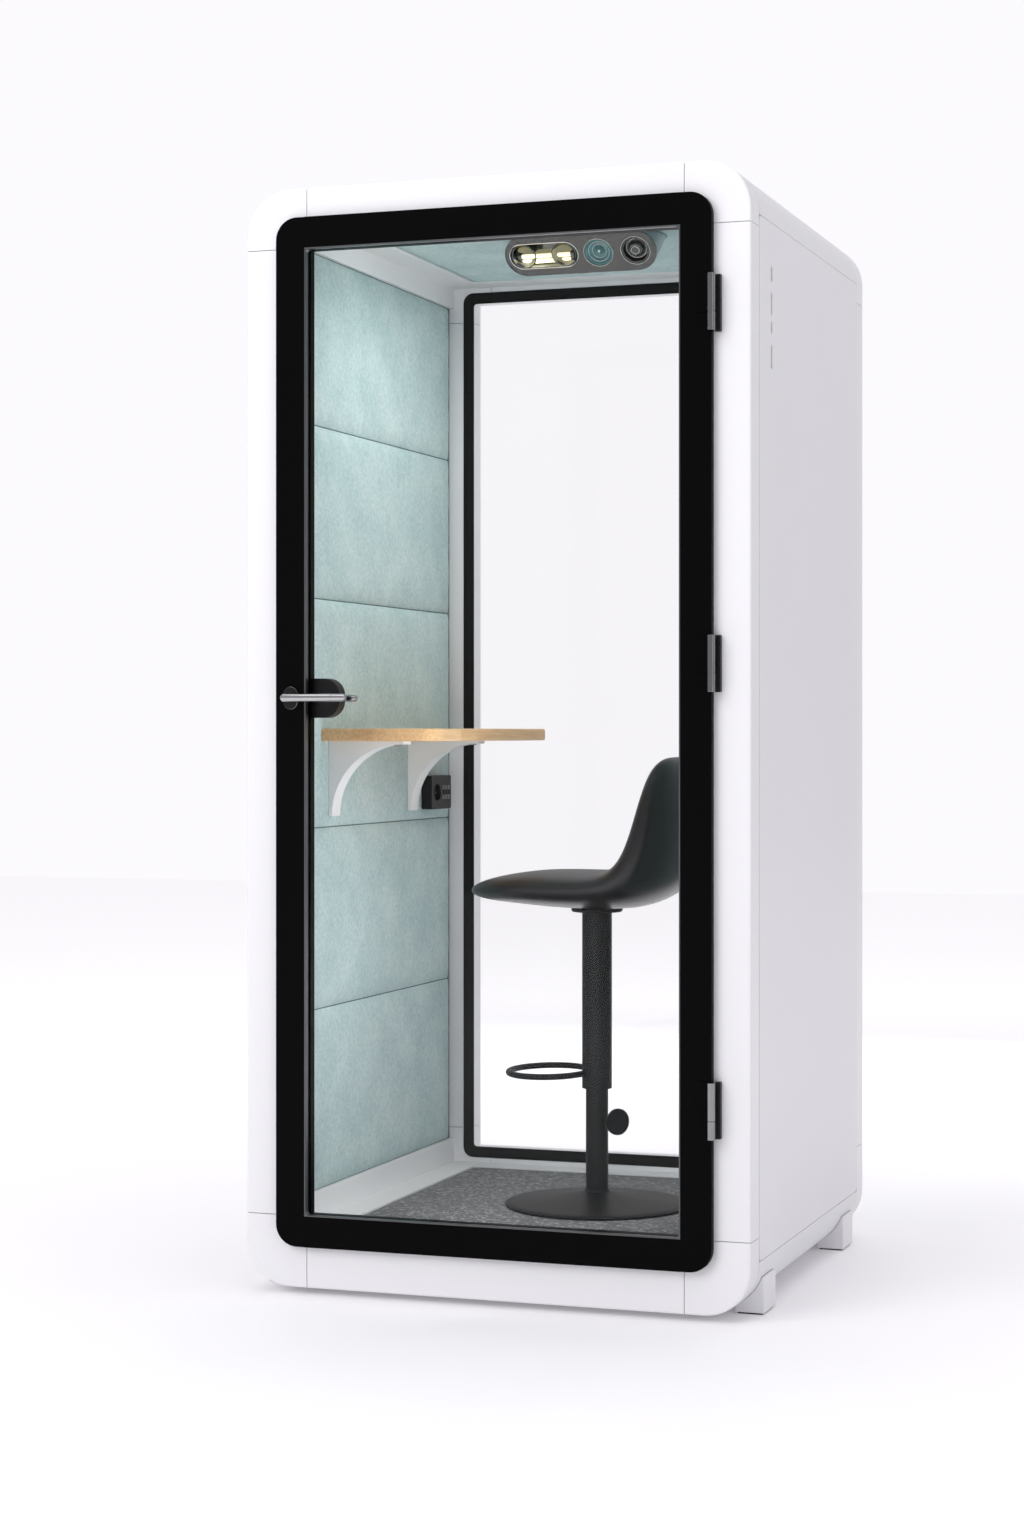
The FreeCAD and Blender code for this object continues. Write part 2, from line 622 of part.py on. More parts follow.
def door():
    flange = rounded("door_flange", both(door_half), (door_face, flange_back), (door_low, door_high),
                     "Y", d.door_radius)
    groove_y = (door_face + d.glass_inset, door_face + d.glass_inset + d.door_glass)
    slack = d.glass_clearance
    groove = box("glass_groove", both(clear_half + d.glass_grip), groove_y,
                 (clear_low - d.glass_grip, clear_high + d.glass_grip))
    for name, sign in (("door_lock_stile", -1), ("door_hinge_stile", 1)):
        outer, inner, insert = door_half * sign, clear_half * sign, insert_half * sign
        flange_x = (outer, inner) if sign < 0 else (inner, outer)
        insert_x = (insert, inner) if sign < 0 else (inner, insert)
        zone = box(name + "_zone", flange_x, (door_face, flange_back), (door_low, door_high))
        body = fuse(name + "_body", common(name + "_flange", flange, zone),
                    box(name + "_insert", insert_x, (flange_back, door_back), (insert_low, insert_high)))
        tools = [groove]
        if sign < 0:
            tools += lock_cuts()
        node(cut(name + "_cut", body, *tools), name)
    rails = []
    for name, z, insert_z in (("bottom_rail", (door_low, clear_low), (insert_low, clear_low)),
                              ("top_rail", (clear_high, door_high), (clear_high, insert_high))):
        rails.append(cut(name, fuse(name + "_body",
                                    box(name + "_flange", both(clear_half), (door_face, flange_back), z),
                                    box(name + "_insert", both(clear_half), (flange_back, door_back), insert_z)),
                         groove))
    node(together("rail_pair", *rails), "door_rails")
    node(box("door_pane", both(clear_half + d.glass_grip - slack), groove_y,
             (clear_low - d.glass_grip + slack, clear_high + d.glass_grip - slack)), "door_glass")
    width = d.bead_width
    node(ring("bead", both(clear_half), (clear_low, clear_high), both(clear_half - width),
              (clear_low + width, clear_high - width), (door_face, door_face + d.bead_depth), as_size(1),
              d.bead_radius), "glazing_bead")
    lip = d.seal_gap
    node(ring("seal", both(door_half - lip), (door_low + lip, door_high - lip), both(open_half + 1),
              (open_low - 1, open_high + 1), (flange_back, flange_back + d.seal), d.door_radius - lip, as_size(4)), "door_seal")


def lock_cuts():
    """Bores for the spindle and the latch bolt in the lock stile."""
    bolt_z = lever_z - d.bolt_drop
    slack = d.bolt_clearance
    y = bolt_span()
    reach_x = -insert_half + d.bolt_length - d.bolt_throw + d.bolt_throw + 1
    return [rod("spindle_way", "Y", (lever_x, lever_z), d.spindle_bore, (door_face - 1, door_back + 1)),
            box("bolt_way", (-insert_half - 1, reach_x), (y[0] - slack, y[1] + slack),
                (bolt_z - d.bolt / 2 - slack, bolt_z + d.bolt / 2 + slack))]


def bolt_span():
    low = door_face + d.glass_inset + d.bolt_from_glass
    return (low, low + d.bolt)


def hinges():
    """Three lift-off hinges: the upper knuckle turns with the door, the lower one holds the pin."""
    x = door_half + d.hinge_offset
    y = door_face - d.knuckle_radius - d.hinge_lift
    frame_leaves, door_leaves = [], []
    centres = (door_high - d.hinge_from_top, door_high - d.hinge_middle_drop, door_low + d.hinge_from_bottom)
    for index, centre in enumerate(centres):
        low = centre - d.hinge_height / 2
        high = centre + d.hinge_height / 2
        split = high - d.hinge_height * d.knuckle_share
        leaf_x = (x + d.leaf_gap, x + d.leaf_gap + d.leaf_width)
        frame_leaves.append(fuse(
            f"frame_leaf_{index}",
            box(f"leaf_plate_{index}", leaf_x, (front - d.leaf_thickness, front), (low, high)),
            box(f"leaf_web_{index}", (leaf_x[0], leaf_x[0] + 3), (y, front - d.leaf_thickness), (low, split)),
            rod(f"low_knuckle_{index}", "Z", (x, y), d.knuckle_radius, (low, split)),
            rod(f"pin_{index}", "Z", (x, y), d.pin_radius, (low, high - 2))))
        leaf = fuse(
            f"door_leaf_{index}",
            box(f"door_plate_{index}", (x - d.door_leaf_width, x), (door_face - d.door_leaf, door_face),
                (split + d.hinge_lift, high)),
            rod(f"high_knuckle_{index}", "Z", (x, y), d.knuckle_radius, (split + d.hinge_lift, high)))
        door_leaves.append(cut(f"door_leaf_bored_{index}", leaf, rod(
            f"pin_bore_{index}", "Z", (x, y), d.pin_radius + d.pin_clearance, (split - 1, high - 1.5))))
    node(together("frame_leaf_set", *frame_leaves), "hinge_frame_leaves")
    node(together("door_leaf_set", *door_leaves), "hinge_door_leaves")


def lock():
    """Lock case on the inside, roses, levers, spindle and latch bolt."""
    z = (lever_z - d.lock_height / 2, lever_z + d.lock_height / 2)
    inner_x = -clear_half
    case_x = (-insert_half + d.lock_edge, inner_x + d.lock_reach)
    plate = body_with_round_end("case_plate", case_x, (door_back, door_back + d.lock_plate), z)
    glass_back = door_face + d.glass_inset + d.door_glass
    filler = body_with_round_end("case_box", (inner_x, case_x[1]), (glass_back + d.glass_clearance, door_back), z)
    bore = rod("case_bore", "Y", (lever_x, lever_z), d.spindle_bore, (door_back - 1, door_back + d.lock_plate + 1))
    node(cut("case_bored", fuse("case", plate, filler), bore), "lock_case")

    case_back = door_back + d.lock_plate
    roses = []
    for name, y in (("outer_rose", (door_face - d.rose, door_face)), ("inner_rose", (case_back, case_back + d.rose))):
        straight = (d.rose_height - d.rose_width) / 2
        oval = fuse(name,
                    box(name + "_box", (lever_x - d.rose_width / 2, lever_x + d.rose_width / 2), y,
                        (lever_z - straight, lever_z + straight)),
                    rod(name + "_low", "Y", (lever_x, lever_z - straight), d.rose_width / 2, y),
                    rod(name + "_high", "Y", (lever_x, lever_z + straight), d.rose_width / 2, y))
        roses.append(cut(name + "_bored", oval, rod(name + "_bore", "Y", (lever_x, lever_z),
                                                    d.neck_radius + d.pin_clearance, (y[0] - 1, y[1] + 1))))
    node(together("rose_pair", *roses), "handle_roses")

    levers = []
    outer_y = door_face - d.finger_gap - d.lever_diameter / 2
    inner_y = case_back + d.inner_finger_gap + d.inner_lever_diameter / 2
    for name, y, neck, radius, length in (
            ("outer", outer_y, (outer_y, door_face), d.lever_diameter / 2, d.lever_length),
            ("inner", inner_y, (case_back, inner_y), d.inner_lever_diameter / 2, d.inner_lever_length)):
        tip = lever_x + length - radius
        bar = fuse(name + "_lever",
                   rod(name + "_neck", "Y", (lever_x, lever_z), d.neck_radius, neck),
                   ball(name + "_elbow", lever_x, y, lever_z, radius),
                   rod(name + "_bar", "X", (y, lever_z), radius, (lever_x, tip)),
                   ball(name + "_tip", tip, y, lever_z, radius))
        levers.append(bar)
    node(together("lever_pair", *levers), "lever_handles")
    key = d.spindle / 2
    node(box("spindle_bar", (lever_x - key, lever_x + key), (door_face, case_back), (lever_z - key, lever_z + key)),
         "spindle")

    bolt_z = lever_z - d.bolt_drop
    y = bolt_span()
    tip = -insert_half - d.bolt_throw
    tail = tip + d.bolt_length
    body = new_body("bolt")
    sketch = sketch_in(body, "XY_Plane", "bolt_plan")
    draw_outline(sketch, [(tail, y[0]), (tail, y[1]), (tip, y[1]), (tip, y[1] - 4), (tip + d.bolt_throw, y[0])])
    pad(body, sketch, d.bolt)
    place(body, 0, 0, bolt_z - d.bolt / 2)
    node(body, "latch_bolt")


def body_with_round_end(name, x, y, z):
    """A block whose two edges at high X are rounded like a D."""
    body = new_body(name)
    sketch = sketch_in(body, "XY_Plane", name + "_plan")
    draw_rectangle(sketch, x, y)
    pad(body, sketch, z[1] - z[0])
    far = as_size(x[1]).value

    def at_far_end(edge):
        return runs_along("Y")(edge) and abs(edge.CenterOfMass.x - far) < 0.01

    soften(body, "Fillet", at_far_end, d.lock_radius, name + "_round")
    place(body, 0, 0, z[0])
    return body


# ---------------------------------------------------------------- table, brackets and socket box

def table():
    y = (ring_back + d.table_front, ring_back + d.table_front + d.table_length)
    room_edge = -felt_face + d.table_depth
    body = new_body("table_board")
    sketch = sketch_in(body, "XY_Plane", "table_plan")
    draw_rectangle(sketch, (-felt_face, room_edge), y)
    pad(body, sketch, d.table_thickness)

    def room_corner(edge):
        return runs_along("Z")(edge) and abs(edge.CenterOfMass.x - room_edge.value) < 0.01

    def rim(edge):
        return edge.BoundBox.ZLength < 0.01 and edge.CenterOfMass.x > -felt_face.value + 0.01

    soften(body, "Fillet", room_corner, d.table_radius, "table_corners")
    soften(body, "Fillet", rim, d.table_edge, "table_rim")
    low = d.table_height - d.table_thickness
    place(body, 0, 0, low)

    brackets, screws, holes = [], [], []
    for index, start in enumerate((y[0] + d.bracket_front, y[0] + d.bracket_front + d.bracket_spacing)):
        brackets.append(bracket(f"bracket_{index}", (start, start + d.bracket_width), low))
        x = -felt_face + d.bracket_arm - d.screw_inset
        for spot in (start + d.bracket_width / 4, start + d.bracket_width * 0.75):
            name = f"screw_{index}_{len(screws) % 2}"
            under = low - d.bracket_tip
            screws.append(fuse(name,
                               rod(name + "_shank", "Z", (x, spot), d.screw_radius, (under, low + d.screw_depth)),
                               rod(name + "_head", "Z", (x, spot), d.screw_head,
                                   (under - d.screw_head_height, under))))
            radius = d.screw_radius + d.screw_clearance
            holes.append(rod(name + "_hole", "Z", (x, spot), radius, (under - 1, low + d.screw_depth + 1)))
            holes.append(rod(name + "_seat", "Z", (x, spot), d.screw_head + d.screw_clearance,
                             (under - d.bracket_tip * 2, under)))
    node(cut("table_drilled", body, *holes[0::2]), "table_top")
    node(cut("brackets_drilled", together("bracket_pair", *brackets), *holes), "table_brackets")
    node(together("screw_set", *screws), "bracket_screws")
    socket_box(y[0] + d.bracket_front + d.bracket_spacing + d.bracket_width + d.socket_gap, low)


def bracket(name, y, table_low):
    """A gusset with a quarter-round hollow between its wall leg and its arm."""
    wall = -felt_face
    block = box(name + "_block", (wall, wall + d.bracket_arm), y, (table_low - d.bracket_drop, table_low))
    radius = d.bracket_drop - d.bracket_tip
    x = wall + d.bracket_tip + radius
    z = table_low - d.bracket_drop
    hollow = rod(name + "_hollow", "Y", (x, z), radius, (y[0] - 1, y[1] + 1))
    step = box(name + "_step", (x, wall + d.bracket_arm + 1), (y[0] - 1, y[1] + 1), (z - 1, z + radius))
    return cut(name, block, hollow, step)


def socket_box(start, table_low):
    x = (-felt_face, -felt_face + d.socket_thickness)
    y = (start, start + d.socket_width)
    z = (table_low - d.bracket_drop, table_low - d.bracket_drop + d.socket_height)
    body = rounded("socket_body", x, y, z, "X", d.socket_radius)
    centre_z = z[0] + d.socket_height / 2
    face = (x[1] - d.outlet_depth, x[1] + 1)
    outlet = rod("outlet", "X", (start + d.socket_width * 0.3, centre_z), d.outlet_radius, face)
    ports = []
    for index, share in enumerate((0.62, 0.76, 0.9)):
        port = start + d.socket_width * share
        ports.append(box(f"port_{index}", face, (port - d.port_width / 2, port + d.port_width / 2),
                         (centre_z - d.port_height / 2, centre_z + d.port_height / 2)))
    node(cut("socket_cut", body, outlet, *ports), "socket_box")


# ---------------------------------------------------------------- ceiling console and fans

TILT = FreeCAD.Rotation(FreeCAD.Vector(1, 0, 0), SIZES["console_tilt"])


def console_place(item):
    """Stand an object of the console on its tilted face."""
    item.Placement.Rotation = TILT
    place(item, d.console_x, middle - d.console_back, ceiling - d.console_height * 0.46)


def stadium(name, x, length, height, span):
    """A bar with half-round ends in the console's own frame: X along it, Z out of its face."""
    radius = height / 2
    straight = (length - height) / 2
    pieces = [box(name + "_mid", (x - straight, x + straight), both(radius), span),
              rod(name + "_left", "Z", (x - straight, zero), radius, span),
              rod(name + "_right", "Z", (x + straight, zero), radius, span)]
    return fuse(name, *pieces)


def console_prism(name, extra):
    """The console's outer form, grown by a gap, for cutting the ceiling around it."""
    prism = stadium(name, zero, d.console_length + extra * 2, d.console_height + extra * 2,
                    (-d.console_depth, d.console_bezel))
    console_place(prism)
    return prism


def console():
    skin = d.console_wall
    pod = cut("pod", stadium("pod_outer", zero, d.console_length, d.console_height, (-d.console_depth, zero)),
              stadium("pod_inner", zero, d.console_length - skin * 2, d.console_height - skin * 2,
                      (-d.console_depth - 1, as_size(1))))
    console_place(pod)
    over = box("over_ceiling", both(half), (front, rear), (liner_low, top + 200))
    node(cut("pod_trimmed", pod, over), "console_housing")

    plate = stadium("bezel_plate", zero, d.console_length, d.console_height, (zero, d.console_bezel))
    span = (as_size(-1), d.console_bezel + 1)
    holes = [stadium("lamp_hole", d.lamp_x, d.lamp_length, d.lamp_height, span)]
    for name, x in (("vent_hole", d.vent_x), ("nozzle_hole", d.nozzle_x)):
        holes.append(rod(name, "Z", (x, zero), d.vent_radius + d.vent_clearance, span))
    bezel = cut("bezel", plate, *holes)
    console_place(bezel)
    node(bezel, "console_bezel")

    wall = d.lamp_wall
    floor = wall - d.lamp_depth
    cup = cut("lamp_cup",
              stadium("cup_outer", d.lamp_x, d.lamp_length, d.lamp_height, (-d.lamp_depth, d.console_bezel - 1)),
              stadium("cup_inner", d.lamp_x, d.lamp_length - wall * 2, d.lamp_height - wall * 2,
                      (floor, d.console_bezel + 1)))
    holder_y = (-d.tube_low - d.tube_radius - wall, d.tube_radius + wall - d.tube_high)
    holder_z = (floor - wall / 2, floor + d.tube_lift + d.tube_radius + wall)
    reach_x = d.tube_length / 2
    holders = [box("left_holder", (d.lamp_x - reach_x - d.tube_holder, d.lamp_x - reach_x), holder_y, holder_z),
               box("right_holder", (d.lamp_x + reach_x, d.lamp_x + reach_x + d.tube_holder), holder_y, holder_z)]
    reflector = fuse("lamp_tray", cup, *holders)
    console_place(reflector)
    node(reflector, "lamp_reflector")
    tubes = []
    for name, low in (("upper_tube", d.tube_high), ("lower_tube", d.tube_low)):
        tubes.append(rod(name, "X", (-low, floor + d.tube_lift), d.tube_radius,
                         (d.lamp_x - reach_x, d.lamp_x + reach_x)))
    pair = together("tube_pair", *tubes)
    console_place(pair)
    node(pair, "lamp_tubes")

    for label, x, crown in (("vent_dish", d.vent_x, 0.25), ("air_nozzle", d.nozzle_x, 0.5)):
        rim = rod(label + "_rim", "Z", (x, zero), d.vent_radius, (-d.dish_depth, d.console_bezel - 1))
        bowl = ball(label + "_bowl", x, 0, d.vent_radius * 1.1, d.vent_radius * 1.35)
        core = rod(label + "_core", "Z", (x, zero), d.vent_radius * crown, (-d.dish_depth, zero))
        piece = fuse(label + "_piece", cut(label + "_dished", rim, bowl), core)
        console_place(piece)
        node(piece, label)


def fan_spans(reach_x):
    return [(d.console_x + shift - reach_x, d.console_x + shift + reach_x)
            for shift in (-d.fan_pitch / 2, d.fan_pitch / 2)]


def fans():
    low = liner_high
    y = fan_y_span(d.fan_size / 2)
    y_mid = fan_y_span(zero)[0]
    frames = []
    for index, x in enumerate(fan_spans(d.fan_size / 2)):
        name = f"fan_{index}"
        x_mid = fan_spans(zero)[index][0]
        shroud = cut(name + "_shroud", box(name + "_box", x, y, (low, low + d.fan_height)),
                     rod(name + "_bore", "Z", (x_mid, y_mid), d.fan_bore, (low - 1, low + d.fan_height + 1)))
        struts = [box(name + "_strut_x", x, (y_mid - 4, y_mid + 4), (low, low + 3)),
                  box(name + "_strut_y", (x_mid - 4, x_mid + 4), y, (low, low + 3)),
                  rod(name + "_seat", "Z", (x_mid, y_mid), d.fan_hub - 2, (low, low + 3))]
        axle = rod(name + "_axle_hole", "Z", (x_mid, y_mid), d.fan_axle + d.pin_clearance, (low - 1, low + 4))
        frames.append(cut(name + "_frame", fuse(name + "_whole", shroud, *struts), axle))
        node(fan_rotor(name, x_mid, y_mid, low), f"fan_rotor_{('left', 'right')[index]}")
    node(together("fan_frame_pair", *frames), "fan_frames")
    roof_grille()


def fan_rotor(name, x, y, low):
    """A hub with seven flat vanes and the axle that it turns on."""
    body = new_body(name + "_rotor")
    sketch = sketch_in(body, "XY_Plane", name + "_hub_plan")
    draw_circle(sketch, 0, 0, d.fan_hub)
    pad(body, sketch, d.fan_height - d.fan_lift, name + "_hub")
    blade = sketch_in(body, "XY_Plane", name + "_blade_plan")
    inner = d.fan_hub - 3
    draw_outline(blade, [(inner, -4), (d.fan_blade - 2, 8), (d.fan_blade - 3, 11), (inner, -1)])
    vane = pad(body, blade, d.fan_height - d.fan_lift - 3, name + "_vane")
    wheel = body.newObject("PartDesign::PolarPattern", name + "_wheel")
    wheel.Originals = [vane]
    wheel.Axis = (blade, ["N_Axis"])
    wheel.Angle = 360
    wheel.Occurrences = 7
    body.Tip = wheel
    doc.recompute()
    place(body, x, y, low + 4)
    axle = rod(name + "_axle", "Z", (x, y), d.fan_axle, (low + 0.5, low + 5))
    return fuse(name + "_spinner", body, axle)


def roof_grille():
    body = new_body("grille")
    sketch = sketch_in(body, "XY_Plane", "grille_plan")
    x = fan_x_span(d.grille_length / 2)
    y = fan_y_span(d.grille_width / 2)
    draw_rectangle(sketch, x, y)
    pad(body, sketch, d.skin)
    slot = sketch_in(body, "XY_Plane", "grille_slot")
    draw_rectangle(slot, (x[0] + 12, x[0] + 12 + d.grille_slot), (y[0] + 14, y[1] - 14))
    first = pocket(body, slot, d.skin, "grille_cut", backwards=True)
    row = body.newObject("PartDesign::LinearPattern", "grille_row")
    row.Originals = [first]
    row.Direction = (slot, ["H_Axis"])
    tie(row, "Length", d.grille_step * 15)
    row.Occurrences = 16
    body.Tip = row
    doc.recompute()
    place(body, 0, 0, top - d.skin)
    node(body, "roof_grille")


# ---------------------------------------------------------------- stool

def stool():
    x = d.stool_x
    y = middle + d.stool_back
    floor = d.floor_height
    body = new_body("base_disc")
    sketch = sketch_in(body, "XZ_Plane", "base_profile")
    radius = d.base_radius
    draw_outline(sketch, [(d.tube_outer, 0), (radius, 0), (radius, d.base_edge), (radius * 0.5, d.base_crown * 0.55),
                          (d.tube_outer + 4, d.base_crown), (d.tube_outer, d.base_crown)])
    revolve(body, sketch)
    place(body, x, y, floor)
    node(body, "stool_base")

    stem = (floor + 1, d.tube_top)
    tube = cut("lower_tube", rod("lower_tube_bar", "Z", (x, y), d.tube_outer, stem),
               rod("lower_tube_bore", "Z", (x, y), d.tube_inner, (floor + 2, d.tube_top + 1)))
    node(cut("lower_tube_drilled", tube, stud("stud_way", x, y, d.stud_clearance, d.tube_inner - 2,
                                              d.tube_outer + 2)), "stool_lower_tube")

    roof = d.sleeve_top - d.sleeve_cap
    outer = rod("sleeve_bar", "Z", (x, y), d.sleeve_radius, (d.sleeve_bottom, d.sleeve_top))
    bore = rod("sleeve_bore", "Z", (x, y), d.tube_outer + d.sleeve_room, (d.sleeve_bottom - 1, roof))
    post = cut("inner_post", rod("post_bar", "Z", (x, y), d.post_radius, (d.post_bottom, roof)),
               rod("post_bore", "Z", (x, y), d.post_bore, (d.post_bottom - 1, roof - d.post_bore)))
    pivot = rod("pivot_bore", "Z", (x, y), d.pivot_radius + d.pivot_clearance,
                (d.sleeve_top - d.pivot_depth - 1, d.sleeve_top + 1))
    node(cut("sleeve_bored", fuse("sleeve", cut("sleeve_tube", outer, bore), post), pivot), "stool_sleeve")
    foot_ring(x, y)

    gap = d.swivel_gap
    plate_low = d.sleeve_top + gap
    node(fuse("pivot_plate",
              rod("seat_disc", "Z", (x, y), d.plate_radius, (plate_low, plate_low + d.plate_thickness)),
              rod("seat_pivot", "Z", (x, y), d.pivot_radius, (d.sleeve_top - d.pivot_depth, plate_low + 1))),
         "seat_plate")
    seat(x, y, plate_low + d.plate_thickness)

    knob = fuse("knob",
                knob_piece("knob_disc", x, y, d.knob_radius, d.knob_reach, d.knob_reach + d.knob_thickness),
                knob_piece("knob_stud", x, y, d.stud_radius, d.post_radius + d.stud_gap, d.knob_reach + 1))
    node(knob, "clamp_knob")


def knob_piece(name, x, y, radius, near, far):
    """A cylinder that points out of the stool's tube along the knob's own direction."""
    item = doc.addObject("Part::Cylinder", name)
    tie(item, "Radius", radius)
    tie(item, "Height", far - near)
    angle = SIZES["knob_angle"]
    turn = FreeCAD.Rotation(FreeCAD.Vector(0, 0, 1), angle)
    item.Placement.Rotation = turn.multiply(TURNS["X"])
    outward = turn.multVec(FreeCAD.Vector(1, 0, 0))
    place(item, x + near * round(outward.x, 6), y + near * round(outward.y, 6), d.knob_height)
    return item


def stud(name, x, y, clearance, near, far):
    return knob_piece(name, x, y, d.stud_radius + clearance, as_size(near), as_size(far))


def foot_ring(x, y):
    """An oval bar loop in front of the sleeve, its back tucked into the sleeve's wall."""
    half_x = d.ring_half_x.value
    half_y = d.ring_half_y.value
    centre = FreeCAD.Vector(x.value - d.sleeve_radius.value + d.ring_tuck.value - half_x, y.value,
                            d.ring_height.value)
    oval = Part.Ellipse(centre + FreeCAD.Vector(0, half_y, 0), centre + FreeCAD.Vector(half_x, 0, 0), centre)
    gap = 0.1
    path = Part.Wire([Part.ArcOfEllipse(oval, math.pi / 2 + gap, math.pi * 2.5 - gap).toShape()])
    edge = path.Edges[0]
    bar = Part.Wire([Part.makeCircle(d.ring_bar.value, edge.valueAt(edge.FirstParameter),
                                     edge.tangentAt(edge.FirstParameter))])
    loop = doc.addObject("Part::Feature", "foot_loop")
    loop.Shape = path.makePipeShell([bar], True, True)
    sleeve_zone = rod("ring_zone", "Z", (x, y), d.sleeve_radius,
                      (d.ring_height - d.ring_bar * 3, d.ring_height + d.ring_bar * 3))
    node(cut("foot_ring_fitted", loop, sleeve_zone), "foot_ring")


def seat(x, y, low):
    """A shell seat: a rounded pan and a leaning back."""
    pan = new_body("seat_pan")
    sketch = sketch_in(pan, "XY_Plane", "pan_plan")
    draw_rectangle(sketch, (-d.seat_front, d.seat_rear), both(d.seat_half_width))
    pad(pan, sketch, d.seat_top - low)
    soften(pan, "Fillet", runs_along("Z"), d.seat_corner, "pan_corners")

    def under(edge):
        return edge.BoundBox.ZLength < 0.01 and edge.CenterOfMass.z < 0.01

    def over(edge):
        return edge.BoundBox.ZLength < 0.01 and edge.CenterOfMass.z > 1

    soften(pan, "Fillet", under, d.seat_under, "pan_under")
    soften(pan, "Fillet", over, d.seat_edge, "pan_rim")
    place(pan, x, y, low)

    back = new_body("seat_back")
    sketch = sketch_in(back, "YZ_Plane", "back_face")
    tall = d.back_top - d.seat_top + d.seat_edge * 2
    draw_rectangle(sketch, both(d.back_half_width), (zero, tall))
    pad(back, sketch, d.back_thickness)

    def upper(edge):
        return runs_along("X")(edge) and edge.CenterOfMass.z > 1

    soften(back, "Fillet", upper, d.back_half_width - 1, "back_crown")
    back.Placement.Rotation = FreeCAD.Rotation(FreeCAD.Vector(0, 1, 0), SIZES["back_lean"])
    place(back, x + d.seat_rear - d.back_thickness * 1.35, y, d.seat_top - d.seat_edge * 2)
    node(fuse("seat", pan, back), "seat_shell")


# ---------------------------------------------------------------- build, check and write

linings(shell())
base_frame()
door()
hinges()
lock()
table()
console()
fans()
stool()
doc.recompute()

for item in doc.Objects:
    if "Invalid" in item.State or "Error" in item.State:
        raise RuntimeError(f"{item.Name} did not recompute: {item.State}")
for item in nodes:
    if item.Shape.isNull() or not item.Shape.isValid() or not item.Shape.Solids:
        raise RuntimeError(f"{item.Label} has no valid solid")

os.makedirs("parts", exist_ok=True)
for item in nodes:
    item.Shape.exportStep(f"parts/{item.Label}.step")
whole = Part.makeCompound([item.Shape for item in nodes])
print(len(nodes), "sub-parts,", whole.BoundBox)
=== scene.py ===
import json
import math

import bmesh
import bpy
from mathutils import Matrix, Vector, noise


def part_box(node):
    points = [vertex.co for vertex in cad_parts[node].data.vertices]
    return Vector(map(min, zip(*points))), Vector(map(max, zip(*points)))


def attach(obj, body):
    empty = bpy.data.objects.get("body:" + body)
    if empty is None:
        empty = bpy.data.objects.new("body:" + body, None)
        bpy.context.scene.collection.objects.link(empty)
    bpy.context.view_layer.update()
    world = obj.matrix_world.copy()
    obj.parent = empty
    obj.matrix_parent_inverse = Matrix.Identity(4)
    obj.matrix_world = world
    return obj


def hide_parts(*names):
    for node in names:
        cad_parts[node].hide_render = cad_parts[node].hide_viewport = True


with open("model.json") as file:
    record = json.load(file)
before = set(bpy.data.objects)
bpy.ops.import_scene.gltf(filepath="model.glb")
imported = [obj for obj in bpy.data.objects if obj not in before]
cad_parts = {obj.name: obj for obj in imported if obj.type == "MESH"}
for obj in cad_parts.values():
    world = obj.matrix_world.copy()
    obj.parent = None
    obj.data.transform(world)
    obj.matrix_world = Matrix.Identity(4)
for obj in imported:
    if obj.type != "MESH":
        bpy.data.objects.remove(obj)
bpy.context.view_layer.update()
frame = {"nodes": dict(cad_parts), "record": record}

nodeBody = {node: body for body, nodes in frame["record"]["behaviour"]["bodies"].items() for node in nodes}
nodeSlot = {part["node"]: part["material_slot"] for part in frame["record"]["subparts"]}


# camera, floor and light

def newPiece(name, data):
    piece = bpy.data.objects.new(name, data)
    bpy.context.collection.objects.link(piece)
    return piece


def addMesh(name, points, faces):
    mesh = bpy.data.meshes.new(name)
    mesh.from_pydata([tuple(p) for p in points], [], faces)
    mesh.validate()
    return newPiece(name, mesh)


def makeCamera():
    place = {"spot": (1.8534, -5.7084, 1.1418), "turn": 19.094, "lens": 65.44, "shiftY": -0.02285}
    data = bpy.data.cameras.new("camera")
    data.lens = place["lens"]
    data.sensor_width = 36
    data.shift_y = place["shiftY"]
    camera = newPiece("camera", data)
    camera.location = place["spot"]
    camera.rotation_euler = (math.radians(90), 0, math.radians(place["turn"]))
    bpy.context.scene.camera = camera


# each light's place, target, size, power and tint
lights = {
    "key": ((-2.2, -5.2, 3.6), (0, 0, 1.2), (3.5, 3.5), 150),
    "top": ((0, -0.5, 6.0), (0, 0, 0), (6, 6), 170),
    "back": ((0.2, 4.0, 2.4), (0, 0, 1.2), (3.5, 3.5), 60),
    "strip": ((4.4, -2.4, 1.6), (0.4, -0.5, 1.2), (0.5, 3.4), 14),
    "inside": ((0.1, -0.1, 2.08), (0, -0.1, 0), (0.6, 0.6), 4, (1, 0.99, 0.96)),
    "wash": ((0.12, -0.38, 0.7), (-0.43, 0.1, 0.6), (0.3, 0.9), 3),
    "lamp": ((0.02, -0.16, 2.1), (-0.43, -0.05, 1.72), (0.12, 0.06), 0.8, (1, 0.99, 0.95))}
mirroredLights = ("top", "strip")  # the only ones that shiny parts show


def makeLight(name, spot, target, size, power, shade=(1, 1, 1)):
    data = bpy.data.lights.new(name, "AREA")
    data.shape = "RECTANGLE"
    data.size, data.size_y = size
    data.energy = power
    data.color = shade
    light = newPiece(name, data)
    light.location = spot
    light.rotation_euler = (Vector(target) - Vector(spot)).to_track_quat("-Z", "Y").to_euler()
    light.visible_camera = False
    light.visible_glossy = name in mirroredLights


stage = {"backdrop": (0.975, 0.96, 0.99, 1), "ambient": 0.5, "floorReach": 14,
         "floorColor": (0.83, 0.82, 0.845), "floorRough": 0.6, "fadeFrom": 1.0, "fadeTo": 6.0,
         "nearGlow": 0.12, "farGlow": 0.52}


